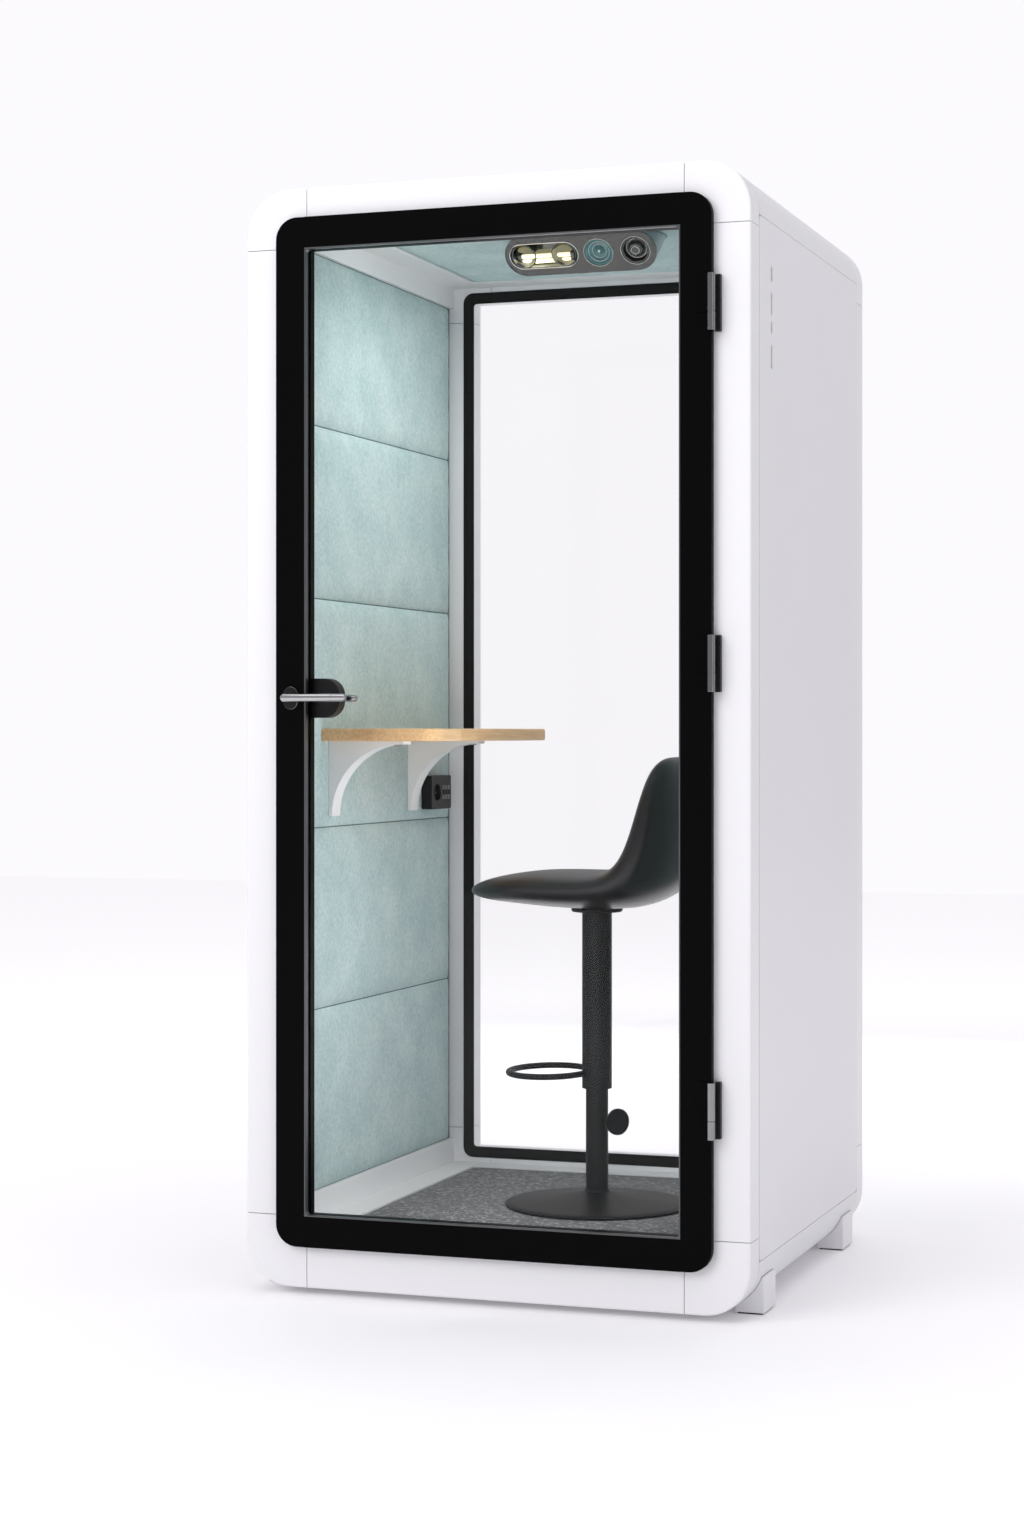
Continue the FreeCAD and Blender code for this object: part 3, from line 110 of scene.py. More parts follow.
def makeStage():
    world = bpy.data.worlds.new("studio")
    bpy.context.scene.world = world
    world.use_nodes = True
    bpy.context.scene.view_settings.view_transform = "Standard"
    work = Tree(world.node_tree)
    backdrop = world.node_tree.nodes["Background"]
    seen = work.add("ShaderNodeLightPath").outputs["Is Camera Ray"]
    backdrop.inputs["Color"].default_value = stage["backdrop"]
    work.link(work.spread(seen, stage["ambient"], 1.0), backdrop.inputs["Strength"])
    reach = stage["floorReach"]
    corners = [(-reach, -reach, 0), (reach, -reach, 0), (reach, reach, 0), (-reach, reach, 0)]
    floor = addMesh("floor", corners, [(0, 1, 2, 3)])
    shader, work = newMaterial("floor", stage["floorColor"], stage["floorRough"])
    floor.data.materials.append(materials["floor"])
    away = work.add("ShaderNodeVectorMath", {"Vector": work.place()}, operation="LENGTH").outputs["Value"]
    lift = work.add("ShaderNodeMapRange", {
        "Value": away, "From Min": stage["fadeFrom"], "From Max": stage["fadeTo"],
        "To Min": stage["nearGlow"], "To Max": stage["farGlow"]}).outputs["Result"]
    work.link(lift, shader.inputs["Emission Strength"])
    shader.inputs["Emission Color"].default_value = (1.0, 0.985, 1.0, 1)
    for name, settings in lights.items():
        makeLight(name, *settings)


# materials

materials = {}


# adds a material to the table, and gives its shader and its tree
def newMaterial(name, color, rough, metal=0.0, **extra):
    material = bpy.data.materials.new(name)
    material.use_nodes = True
    shader = material.node_tree.nodes["Principled BSDF"]
    shader.inputs["Base Color"].default_value = (*color, 1)
    shader.inputs["Roughness"].default_value = rough
    shader.inputs["Metallic"].default_value = metal
    for key, value in extra.items():
        shader.inputs[key.replace("_", " ")].default_value = value
    materials[name] = material
    return shader, Tree(material.node_tree)


# adds nodes to a material or group and joins them by socket name
class Tree:
    def __init__(self, tree):
        self.tree = tree

    def add(self, kind, inputs=None, **settings):
        node = self.tree.nodes.new(kind)
        for key, value in settings.items():
            setattr(node, key, value)
        for key, value in (inputs or {}).items():
            socket = node.inputs[key]
            if isinstance(value, bpy.types.NodeSocket):
                self.tree.links.new(value, socket)
            else:
                socket.default_value = value
        return node

    def link(self, start, end):
        self.tree.links.new(start, end)

    def math(self, operation, first, second):
        return self.add("ShaderNodeMath", {0: first, 1: second}, operation=operation).outputs[0]

    def noise(self, place, scale, detail=2.0, rough=0.5):
        return self.add("ShaderNodeTexNoise", {"Vector": place, "Scale": scale, "Detail": detail,
                                               "Roughness": rough}).outputs["Fac"]

    def place(self):
        return self.add("ShaderNodeTexCoord").outputs["Object"]

    # widens a narrow span to 0 to 1
    def contrast(self, value, low, high):
        node = self.add("ShaderNodeMapRange", {"Value": value, "From Min": low, "From Max": high})
        return node.outputs["Result"]

    def bump(self, shader, height, strength, distance):
        raised = self.add("ShaderNodeBump", {"Height": height, "Strength": strength, "Distance": distance})
        self.link(raised.outputs["Normal"], shader.inputs["Normal"])

    # maps a 0 to 1 value onto a range
    def spread(self, value, low, high):
        node = self.add("ShaderNodeMapRange", {"Value": value, "To Min": low, "To Max": high})
        return node.outputs["Result"]

    def blend(self, factor, first, second):
        node = self.add("ShaderNodeMix", {"Factor": factor}, data_type="RGBA")
        for socket, value in ((node.inputs[6], first), (node.inputs[7], second)):
            if isinstance(value, bpy.types.NodeSocket):
                self.link(value, socket)
            else:
                socket.default_value = (*value, 1)
        return node.outputs[2]


def newGroup(name, inputs, outputs, treeKind="ShaderNodeTree"):
    tree = bpy.data.node_groups.new(name, treeKind)
    for label, kind, value in inputs:
        socket = tree.interface.new_socket(label, in_out="INPUT", socket_type="NodeSocket" + kind)
        if value is not None:
            socket.default_value = value
    for label, kind in outputs:
        tree.interface.new_socket(label, in_out="OUTPUT", socket_type="NodeSocket" + kind)
    work = Tree(tree)
    start = work.add("NodeGroupInput")
    end = work.add("NodeGroupOutput")
    return tree, work, start, end


# powder coat or moulded skin: a fine orange peel, slight shade drift and uneven gloss
def makeCoatGroup():
    tree, work, start, end = newGroup(
        "coatDetail",
        [("Color", "Color", (0.8, 0.8, 0.8, 1)), ("Grain", "Float", 700.0),
         ("Drift", "Float", 0.03), ("Roughness", "Float", 0.4),
         ("Scuff", "Float", 0.06)],
        [("Color", "Color"), ("Roughness", "Float"), ("Height", "Float")])
    place = work.place()
    fine = work.noise(place, start.outputs["Grain"], 3)
    broad = work.noise(place, 2.5, 3)
    smear = work.noise(place, 24.0, 5, 0.6)
    low = work.math("SUBTRACT", 1.0, start.outputs["Drift"])
    shade = work.math("ADD", low, work.math("MULTIPLY", broad, start.outputs["Drift"]))
    tone = work.add("ShaderNodeCombineColor", {0: shade, 1: shade, 2: shade}).outputs[0]
    mixed = work.add("ShaderNodeMix", {"Factor": 1.0}, data_type="RGBA", blend_type="MULTIPLY")
    work.link(start.outputs["Color"], mixed.inputs[6])
    work.link(tone, mixed.inputs[7])
    work.link(mixed.outputs[2], end.inputs["Color"])
    uneven = work.math("MULTIPLY", work.math("SUBTRACT", smear, 0.5), start.outputs["Scuff"])
    work.link(work.math("ADD", start.outputs["Roughness"], uneven), end.inputs["Roughness"])
    work.link(fine, end.inputs["Height"])
    return tree


def coatMaterial(name, color, rough, metal=0.0, grain=700.0, drift=0.03, scuff=0.06, bump=0.06, **extra):
    shader, work = newMaterial(name, color, rough, metal, **extra)
    detail = work.add("ShaderNodeGroup", {"Color": (*color, 1), "Grain": grain, "Drift": drift,
                                          "Roughness": rough, "Scuff": scuff}, node_tree=coatGroup)
    work.link(detail.outputs["Color"], shader.inputs["Base Color"])
    work.link(detail.outputs["Roughness"], shader.inputs["Roughness"])
    work.bump(shader, detail.outputs["Height"], bump, 0.0004)


# felted cloth: crossing threads, stray fibres and a heathered shade
def makeWovenGroup():
    tree, work, start, end = newGroup(
        "clothDetail",
        [("Light", "Color", (0.5, 0.7, 0.7, 1)), ("Dark", "Color", (0.3, 0.5, 0.5, 1)),
         ("Threads", "Float", 420.0), ("Fibre", "Float", 900.0)],
        [("Color", "Color"), ("Height", "Float")])
    place = work.place()
    axes = work.add("ShaderNodeSeparateXYZ", {"Vector": place})
    threads = []
    for first, second in (("Y", "X"), ("Z", "X")):
        along = work.math("ADD", axes.outputs[first], work.math("MULTIPLY", axes.outputs[second], 0.7))
        jitter = work.math("MULTIPLY", work.noise(place, 160.0, 2), 0.004)
        phase = work.math("MULTIPLY", work.math("ADD", along, jitter), start.outputs["Threads"])
        threads.append(work.math("SINE", work.math("MULTIPLY", phase, 6.2832), 0.0))
    weave = work.math("MULTIPLY", threads[0], threads[1])
    fibre = work.noise(place, start.outputs["Fibre"], 4, 0.7)
    heather = work.noise(place, 120.0, 5, 0.8)
    cloudy = work.noise(place, 9.0, 3)
    mixture = work.math("ADD", work.math("MULTIPLY", heather, 0.7), work.math("MULTIPLY", cloudy, 0.3))
    spread = work.contrast(mixture, 0.4, 0.6)
    color = work.blend(spread, start.outputs["Dark"], start.outputs["Light"])
    work.link(color, end.inputs["Color"])
    height = work.math("ADD", work.math("MULTIPLY", weave, 0.2), work.math("MULTIPLY", fibre, 0.8))
    work.link(height, end.inputs["Height"])
    return tree


def clothMaterial(name, light, dark, threads, fibre, bump, distance, rough=0.95, sheen=0.3):
    shader, work = newMaterial(name, light, rough, 0.0, Sheen_Weight=sheen, Sheen_Roughness=0.5)
    shader.inputs["Specular IOR Level"].default_value = 0.2
    detail = work.add("ShaderNodeGroup", {"Light": (*light, 1), "Dark": (*dark, 1), "Threads": threads,
                                          "Fibre": fibre}, node_tree=wovenGroup)
    work.link(detail.outputs["Color"], shader.inputs["Base Color"])
    work.bump(shader, detail.outputs["Height"], bump, distance)


# light hardwood staves that run along the table, each with its own shade and grain
def woodMaterial():
    shader, work = newMaterial("oak", (0.7, 0.5, 0.3), 0.42)
    place = work.place()
    axes = work.add("ShaderNodeSeparateXYZ", {"Vector": place})
    stave = work.math("FLOOR", work.math("MULTIPLY", axes.outputs["X"], 22.0), 0.0)
    step = work.math("FLOOR", work.math("ADD", work.math("MULTIPLY", axes.outputs["Y"], 3.1),
                                        work.math("MULTIPLY", stave, 0.37)), 0.0)
    pick = work.add("ShaderNodeCombineXYZ", {"X": stave, "Y": step})
    tone = work.add("ShaderNodeTexWhiteNoise", {"Vector": pick.outputs[0]}).outputs["Value"]
    shifted = work.add("ShaderNodeCombineXYZ", {
        "X": work.math("MULTIPLY", axes.outputs["X"], 95.0),
        "Y": work.math("ADD", work.math("MULTIPLY", axes.outputs["Y"], 5.0),
                       work.math("MULTIPLY", stave, 3.7)),
        "Z": work.math("MULTIPLY", axes.outputs["Z"], 95.0)}).outputs[0]
    grain = work.noise(shifted, 1.6, 6, 0.62)
    pores = work.noise(shifted, 7.0, 3, 0.8)
    light = work.blend(tone, (0.74, 0.46, 0.22), (0.84, 0.56, 0.30))
    dark = work.blend(tone, (0.55, 0.32, 0.14), (0.62, 0.38, 0.18))
    contrast = work.contrast(grain, 0.38, 0.62)
    color = work.blend(work.math("MULTIPLY", contrast, 0.75), light, dark)
    work.link(color, shader.inputs["Base Color"])
    work.link(work.spread(pores, 0.34, 0.52), shader.inputs["Roughness"])
    work.bump(shader, pores, 0.12, 0.0004)


# clear sheet glass: it shows only its reflection, stronger at a slant, over a faint tint
def glassMaterial(name, tint, haze):
    shader, work = newMaterial(name, tint, 0.02, 0.0)
    fresnel = work.add("ShaderNodeFresnel", {"IOR": 1.5}).outputs["Fac"]
    place = work.place()
    smear = work.spread(work.noise(place, 3.0, 4), haze * 0.6, haze * 1.4)
    alpha = work.math("MINIMUM", work.math("ADD", work.math("MULTIPLY", fresnel, 0.3), smear), 1.0)
    shader.inputs["Metallic"].default_value = 1.0
    work.link(alpha, shader.inputs["Alpha"])
    work.bump(shader, work.noise(place, 1.2, 1), 0.02, 0.01)


# metal with fine scratches drawn out along one axis
def brushedMaterial(name, color, rough, axis, strength=0.15, metal=1.0):
    shader, work = newMaterial(name, color, rough, metal)
    place = work.place()
    stretch = [1400.0, 1400.0, 1400.0]
    stretch["XYZ".index(axis)] = 40.0
    mapped = work.add("ShaderNodeMapping", {"Vector": place, "Scale": stretch}).outputs[0]
    scratch = work.noise(mapped, 1.0, 3, 0.7)
    smear = work.noise(place, 30.0, 4)
    work.link(work.spread(scratch, rough * 0.7, rough * 1.5), shader.inputs["Roughness"])
    shade = work.blend(smear, tuple(c * 0.86 for c in color), color)
    work.link(shade, shader.inputs["Base Color"])
    work.bump(shader, scratch, strength, 0.0002)


def glowMaterial():
    shader, work = newMaterial("tubeGlow", (1.0, 0.96, 0.82), 0.3)
    place = work.place()
    patch = work.noise(place, 60.0, 2)
    work.link(work.blend(patch, (1.0, 0.86, 0.45), (1.0, 0.95, 0.7)), shader.inputs["Emission Color"])
    shader.inputs["Emission Strength"].default_value = 1.1


# dark loop pile: a bead for each loop, with paler flecks
def carpetMaterial():
    shader, work = newMaterial("carpetPile", (0.05, 0.05, 0.055), 0.95, 0.0, Sheen_Weight=0.25)
    place = work.place()
    loops = work.add("ShaderNodeTexVoronoi", {"Vector": place, "Scale": 230.0})
    fleck = work.noise(place, 120.0, 2, 0.7)
    patch = work.noise(place, 14.0, 3)
    choose = work.contrast(fleck, 0.53, 0.61)
    dark = work.blend(patch, (0.016, 0.016, 0.018), (0.035, 0.035, 0.038))
    color = work.blend(choose, dark, (0.24, 0.24, 0.25))
    work.link(color, shader.inputs["Base Color"])
    height = work.math("SUBTRACT", 1.0, loops.outputs["Distance"])
    work.bump(shader, height, 0.7, 0.0016)


coatGroup = makeCoatGroup()
wovenGroup = makeWovenGroup()
coatMaterial("whiteFrame", (0.83, 0.825, 0.85), 0.38, grain=900, bump=0.05)
coatMaterial("whitePanel", (0.80, 0.795, 0.825), 0.42, grain=850, bump=0.06)
coatMaterial("whiteTrim", (0.80, 0.81, 0.82), 0.45)
coatMaterial("whiteSteel", (0.82, 0.83, 0.84), 0.4, grain=1000)
coatMaterial("blackDoor", (0.002, 0.002, 0.0022), 0.4, grain=1100, drift=0.2, bump=0.05,
             Specular_IOR_Level=0.04)
coatMaterial("darkMetal", (0.008, 0.008, 0.0085), 0.42, grain=1300, drift=0.2, bump=0.22,
             Specular_IOR_Level=0.25)
coatMaterial("blackPlastic", (0.004, 0.004, 0.0045), 0.45, grain=1500, drift=0.2, bump=0.3,
             Specular_IOR_Level=0.22)
coatMaterial("rubber", (0.006, 0.006, 0.006), 0.7, grain=600, drift=0.3, bump=0.3,
             Specular_IOR_Level=0.15)
coatMaterial("seatSkin", (0.005, 0.005, 0.0055), 0.3, grain=620, drift=0.25, bump=0.3)
clothMaterial("core", (0.5, 0.48, 0.42), (0.38, 0.36, 0.3), 100, 300, 0.6, 0.003)
clothMaterial("felt", (0.63, 0.765, 0.765), (0.40, 0.57, 0.585), 420, 1000, 0.9, 0.0015)
carpetMaterial()
woodMaterial()
# the board liner shows in the seams between the felt pads; its dark teal cloth colour is painted seam shade,
# not the liner's own colour
clothMaterial("board", (0.12, 0.19, 0.2), (0.07, 0.12, 0.13), 100, 500, 0.3, 0.001)
brushedMaterial("chromeX", (0.5, 0.5, 0.51), 0.2, "X")
brushedMaterial("chromeZ", (0.27, 0.27, 0.275), 0.1, "Z", 0.05)
brushedMaterial("beadMetal", (0.16, 0.165, 0.17), 0.35, "Z")
brushedMaterial("bezelChrome", (0.15, 0.155, 0.15), 0.07, "X", 0.02)
brushedMaterial("steel", (0.5, 0.5, 0.51), 0.3, "X")
brushedMaterial("hoopChrome", (0.85, 0.84, 0.8), 0.08, "X")
brushedMaterial("reflector", (0.2, 0.21, 0.19), 0.1, "X")
coatMaterial("dish", (0.13, 0.29, 0.30), 0.2, 0.3, grain=500)
glassMaterial("doorGlass", (0.42, 0.43, 0.43), 0.002)
glassMaterial("rearGlass", (0.45, 0.46, 0.47), 0.01)
glowMaterial()
slotMaterial = {
    "white_frame": "whiteFrame", "white_panel": "whitePanel", "dark_metal": "darkMetal",
    "black_door": "blackDoor", "core": "core", "board": "board", "carpet": "carpetPile", "felt": "felt",
    "white_trim": "whiteTrim", "glass": "doorGlass", "rubber": "rubber", "oak": "oak",
    "white_steel": "whiteSteel", "black_plastic": "blackPlastic", "chrome": "chromeX", "steel": "steel",
    "reflector": "reflector", "tube_glow": "tubeGlow", "dish": "dish", "seat": "seatSkin",
}
makeCamera()
makeStage()
print("stage and materials done")


# tools for making pieces

mm = 0.001
shell = {"half": 0.531, "low": 0.013, "high": 2.25, "radius": 0.095, "front": -0.4815}


def newWork(points, faces):
    work = bmesh.new()
    verts = [work.verts.new(point) for point in points]
    for face in faces:
        work.faces.new([verts[index] for index in face])
    return work


def fromBmesh(name, work):
    bmesh.ops.recalc_face_normals(work, faces=work.faces)
    mesh = bpy.data.meshes.new(name)
    work.to_mesh(mesh)
    work.free()
    return newPiece(name, mesh)


# turns a piece with modifiers into a plain mesh
def applyModifiers(piece):
    graph = bpy.context.evaluated_depsgraph_get()
    mesh = bpy.data.meshes.new_from_object(piece.evaluated_get(graph), depsgraph=graph)
    piece.modifiers.clear()
    old = piece.data
    piece.data = mesh
    bpy.data.meshes.remove(old)
    return piece


def shadeSmooth(piece, angle=35):
    for face in piece.data.polygons:
        face.use_smooth = True
    piece.data.set_sharp_from_angle(angle=math.radians(angle))


# several pieces as one, keeping each one's materials
def join(name, *parts):
    work = bmesh.new()
    slots = []
    for part in parts:
        start = len(work.faces)
        work.from_mesh(part.data)
        work.faces.ensure_lookup_table()
        owned = list(part.data.materials) or [None]
        for index in range(start, len(work.faces)):
            face = work.faces[index]
            material = owned[min(face.material_index, len(owned) - 1)]
            if material not in slots:
                slots.append(material)
            face.material_index = slots.index(material)
    mesh = bpy.data.meshes.new(name)
    work.to_mesh(mesh)
    work.free()
    for material in slots:
        mesh.materials.append(material)
    piece = newPiece(name, mesh)
    for part in parts:
        bpy.data.objects.remove(part)
    return piece


# gives a piece the given material, or its slot's when it has none, sets it on the body it rides on and hides
# the CAD nodes that it stands for
def finish(piece, body, slot, *nodes, material=None):
    if material or not any(piece.data.materials):
        piece.data.materials.clear()
        piece.data.materials.append(materials[material or slotMaterial[slot]])
    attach(piece, body)
    if nodes:
        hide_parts(*nodes)
    return piece


# A copy of a CAD node with its hard edges eased; wide picks edges that get a larger round
def softened(node, width=1.0, segments=2, angle=32, wide=None, wideBy=0.0, material=None, pick=None):
    work = bmesh.new()
    work.from_mesh(frame["nodes"][node].data)
    bmesh.ops.remove_doubles(work, verts=work.verts, dist=1e-6)
    bmesh.ops.dissolve_limit(work, angle_limit=math.radians(0.6), verts=work.verts, edges=work.edges)
    for chosen, size, steps in ((wide, wideBy * mm, 4), (lambda edge: True, width * mm, segments)):
        if not chosen or size <= 0:
            continue
        edges = [edge for edge in work.edges if len(edge.link_faces) == 2
                 and edge.calc_face_angle(0) > math.radians(angle) and chosen(edge)]
        bmesh.ops.bevel(work, geom=edges, offset=size, offset_type="OFFSET", segments=steps, profile=0.5,
                        affect="EDGES", clamp_overlap=True)
    bmesh.ops.triangulate(work, faces=[face for face in work.faces if len(face.verts) > 4])
    piece = fromBmesh(node + "_finished", work)
    shadeSmooth(piece, 50)
    modifier = piece.modifiers.new("weighted", "WEIGHTED_NORMAL")
    modifier.keep_sharp = True
    applyModifiers(piece)
    if pick:
        second, test = pick
        piece.data.materials.append(materials[material or slotMaterial[nodeSlot[node]]])
        piece.data.materials.append(materials[second])
        for face in piece.data.polygons:
            face.material_index = 1 if test(face) else 0
        material = None
    return finish(piece, nodeBody[node], nodeSlot[node], node, material=material)


# A closed solid turned about an axis: profile is a closed loop of (radius, height) in mm
def lathe(name, profile, centre, axis="Z", steps=96, turn=None):
    points, faces = [], []
    count = len(profile)
    for step in range(steps):
        angle = 2 * math.pi * step / steps
        for radius, height in profile:
            points.append(Vector((radius * math.cos(angle), radius * math.sin(angle), height)) * mm)
    for step in range(steps):
        after = (step + 1) % steps
        for index in range(count):
            nextIndex = (index + 1) % count
            faces.append((step * count + index, after * count + index, after * count + nextIndex,
                          step * count + nextIndex))
    work = newWork(points, faces)
    bmesh.ops.remove_doubles(work, verts=work.verts, dist=1e-7)
    bmesh.ops.dissolve_degenerate(work, edges=work.edges, dist=1e-7)
    turns = {"X": Matrix.Rotation(math.radians(90), 4, "Y"), "Y": Matrix.Rotation(math.radians(-90), 4, "X"),
             "Z": Matrix.Identity(4)}
    work.transform(Matrix.Translation(Vector(centre)) @ (turn or turns[axis]))
    piece = fromBmesh(name, work)
    shadeSmooth(piece)
    return piece


# A profile with each corner rounded; a corner may give its own radius as a third number
def rounded(profile, radius, steps=4):
    made = []
    count = len(profile)
    for index, corner in enumerate(profile):
        here = Vector(corner[:2])
        size = corner[2] if len(corner) > 2 else radius
        before = Vector(profile[index - 1][:2]) - here
        after = Vector(profile[(index + 1) % count][:2]) - here
        reach = min(size, before.length * 0.49, after.length * 0.49)
        if reach <= 0.01:
            made.append(tuple(here))
            continue
        start = here + before.normalized() * reach
        end = here + after.normalized() * reach
        for step in range(steps + 1):
            t = step / steps
            made.append(tuple(start * (1 - t) ** 2 + here * 2 * t * (1 - t) + end * t ** 2))
    return made


# A round bar along a smooth path of points in metres, ends capped
def tube(name, path, radius, closed=False, sides=20):
    curve = bpy.data.curves.new(name, "CURVE")
    curve.dimensions = "3D"
    spline = curve.splines.new("NURBS")
    spline.points.add(len(path) - 1)
    for point, spot in zip(spline.points, path):
        point.co = (*spot, 1)
    spline.order_u = 3
    spline.use_endpoint_u = not closed
    spline.use_cyclic_u = closed
    curve.bevel_depth = radius
    curve.bevel_resolution = max(2, sides // 4)
    curve.use_fill_caps = True
    curve.resolution_u = 16
    holder = newPiece(name + "_path", curve)
    graph = bpy.context.evaluated_depsgraph_get()
    mesh = bpy.data.meshes.new_from_object(holder.evaluated_get(graph), depsgraph=graph)
    bpy.data.objects.remove(holder)
    work = bmesh.new()
    work.from_mesh(mesh)
    bmesh.ops.remove_doubles(work, verts=work.verts, dist=1e-6)
    piece = fromBmesh(name, work)
    shadeSmooth(piece)
    return piece


# geometry nodes: sets one source piece on each point of the mesh, turned by the turn attribute
def makeRepeatNodes():
    inputs = [("Points", "Geometry", None), ("Source", "Object", None), ("Finish", "Material", None)]
    tree, work, start, end = newGroup("repeatPiece", inputs, [("Result", "Geometry")], "GeometryNodeTree")
    source = work.add("GeometryNodeObjectInfo", {"Object": start.outputs["Source"]})
    turn = work.add("GeometryNodeInputNamedAttribute", {"Name": "turn"}, data_type="FLOAT_VECTOR")
    placed = work.add("GeometryNodeInstanceOnPoints", {
        "Points": start.outputs["Points"], "Instance": source.outputs["Geometry"],
        "Rotation": turn.outputs["Attribute"]})
    solid = work.add("GeometryNodeRealizeInstances", {"Geometry": placed.outputs["Instances"]})
    painted = work.add("GeometryNodeSetMaterial", {"Geometry": solid.outputs["Geometry"],
                                                   "Material": start.outputs["Finish"]})
    work.link(painted.outputs["Geometry"], end.inputs["Result"])
    return tree


# one piece made of copies of a source: spots are (place, turn) pairs
def repeat(name, source, spots, body, slot, material):
    piece = addMesh(name, [spot for spot, _ in spots], [])
    turns = piece.data.attributes.new("turn", "FLOAT_VECTOR", "POINT")
    for index, (_, turn) in enumerate(spots):
        turns.data[index].vector = turn
    modifier = piece.modifiers.new("repeat", "NODES")
    modifier.node_group = repeatNodes
    sockets = {item.name: item.identifier for item in repeatNodes.interface.items_tree
               if item.item_type == "SOCKET" and item.in_out == "INPUT"}
    modifier[sockets["Source"]] = source
    modifier[sockets["Finish"]] = materials[material]
    bpy.context.view_layer.update()
    applyModifiers(piece)
    shadeSmooth(piece)
    bpy.data.objects.remove(source)
    return finish(piece, body, slot, material=material)


repeatNodes = makeRepeatNodes()


# shell: frames, panels, trims and feet

# true where a point lies on the booth's rounded outline, seen from the front
def onOutline(point):
    x = abs(point.x)
    z = point.z
    cornerX = shell["half"] - shell["radius"]
    lowZ, highZ = shell["low"] + shell["radius"], shell["high"] - shell["radius"]
    outX, outZ = max(0, x - cornerX), max(0, z - highZ, lowZ - z)
    if outX == 0 or outZ == 0:
        return abs(x - shell["half"]) < mm or abs(z - shell["low"]) < mm or abs(z - shell["high"]) < mm
    return abs(math.hypot(outX, outZ) - shell["radius"]) < mm


def outerEdge(edge):
    first, second = (vert.co for vert in edge.verts)
    if abs(first.y - second.y) > mm:
        return False
    outward = abs(first.y - shell["front"]) < mm or abs(first.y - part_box("rear_glass")[1].y) > 0.045
    return outward and onOutline(first) and onOutline(second)


# how far each node's hard edges are eased, in mm
shellEdges = {"rear_frame_bars": 0.6, "rear_corner_blocks": 0.6, "side_panels": 0.6, "roof_panel": 0.6,
              "edge_trims": 0.5, "inner_trims": 1.2, "rear_strips": 0.8, "foot_blocks": 4, "foot_pads": 0.8,
              "roof_grille": 0.5, "power_inlet": 0.8, "base_pan": 0.5, "rear_window_border": 0.4}


def makeShell():
    for node in ("front_posts", "front_rails", "front_corner_blocks"):
        softened(node, 0.6, 2, wide=outerEdge, wideBy=5)
    for node, width in shellEdges.items():
        softened(node, width, 3 if width > 2 else 2)
    softened("rear_glass", 0.8, 2, material="rearGlass")


makeShell()
print("shell done")


# door: black frame, glass, bead and seal

door = {"rimFrom": 0.41, "rim": 2, "edge": 0.5}


def makeDoor():
    def faceEdge(edge):
        onFace = all(vert.co.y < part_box("door_rails")[0].y + mm for vert in edge.verts)
        return onFace and max(abs(vert.co.x) for vert in edge.verts) > door["rimFrom"]

    for node in ("door_lock_stile", "door_hinge_stile"):
        softened(node, door["edge"], 2, wide=faceEdge, wideBy=door["rim"])
    softened("door_rails", door["edge"], 2)
    softened("door_glass", 0.8, 2)
    softened("glazing_bead", 0.8, 2, material="beadMetal")
    softened("door_seal", 0.4, 2)


makeDoor()
print("door done")


# hinges: bright knuckles on dark leaves, with leaf screws

hinge = {"x": 0.459, "y": -0.510, "knuckle": 0.0086, "edge": 0.7, "screwX": 0.4695, "screwRise": 33,
         "screwDepth": 24.5, "nextHinge": 0.2,
         "screwHead": [(0, 0), (3.2, 0), (3.2, 1.4), (1.6, 1.8), (1.6, 0.9), (0, 0.9)]}


def makeHinges():
    def onKnuckle(face):
        return math.hypot(face.center.x - hinge["x"], face.center.y - hinge["y"]) < hinge["knuckle"]

    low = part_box("hinge_frame_leaves")[0]
    for node in ("hinge_frame_leaves", "hinge_door_leaves"):
        softened(node, hinge["edge"], 3, pick=("chromeZ", onKnuckle),
                 material="blackDoor" if node == "hinge_door_leaves" else None)
    head = lathe("leaf_screw_source", rounded(hinge["screwHead"], 0.3), (0, 0, 0), steps=24)
    spots = []
    for centre in hingeCentres():
        for rise in (-hinge["screwRise"], 0, hinge["screwRise"]):
            spot = (hinge["screwX"], low.y + hinge["screwDepth"] * mm, centre + rise * mm)
            spots.append((spot, (math.radians(90), 0, 0)))
    repeat("leaf_screws", head, spots, "cabin", "dark_metal", "darkMetal")


# the middle of each hinge, from the separate leaves' own heights
def hingeCentres():
    heights = sorted({round(vert.co.z, 4) for vert in frame["nodes"]["hinge_frame_leaves"].data.vertices})
    groups = [[heights[0]]]
    for height in heights[1:]:
        if height - groups[-1][-1] > hinge["nextHinge"]:
            groups.append([])
        groups[-1].append(height)
    return [(group[0] + group[-1]) / 2 for group in groups]


makeHinges()
print("hinges done")


# wall and ceiling felts: padded panels, swollen by a pressure run

felt = {"cell": 11 * mm, "ceilingCell": 10 * mm, "start": 4.5 * mm, "cap": 3.8 * mm, "edge": 17 * mm,
        "edgeDrop": 0.85, "frames": 14, "fill": 0.85, "ceilingHalf": 0.3615, "ceilingRear": 0.413,
        "ceilingLow": 2.186, "ceilingHigh": 2.196, "holeGap": 1.2}
clothSettings = {
    "quality": 4, "mass": 0.25, "use_pressure": True, "uniform_pressure_force": 3.0,
    "vertex_group_mass": "held", "shrink_min": -0.012, "tension_stiffness": 25,
    "compression_stiffness": 8, "bending_stiffness": 2.0}


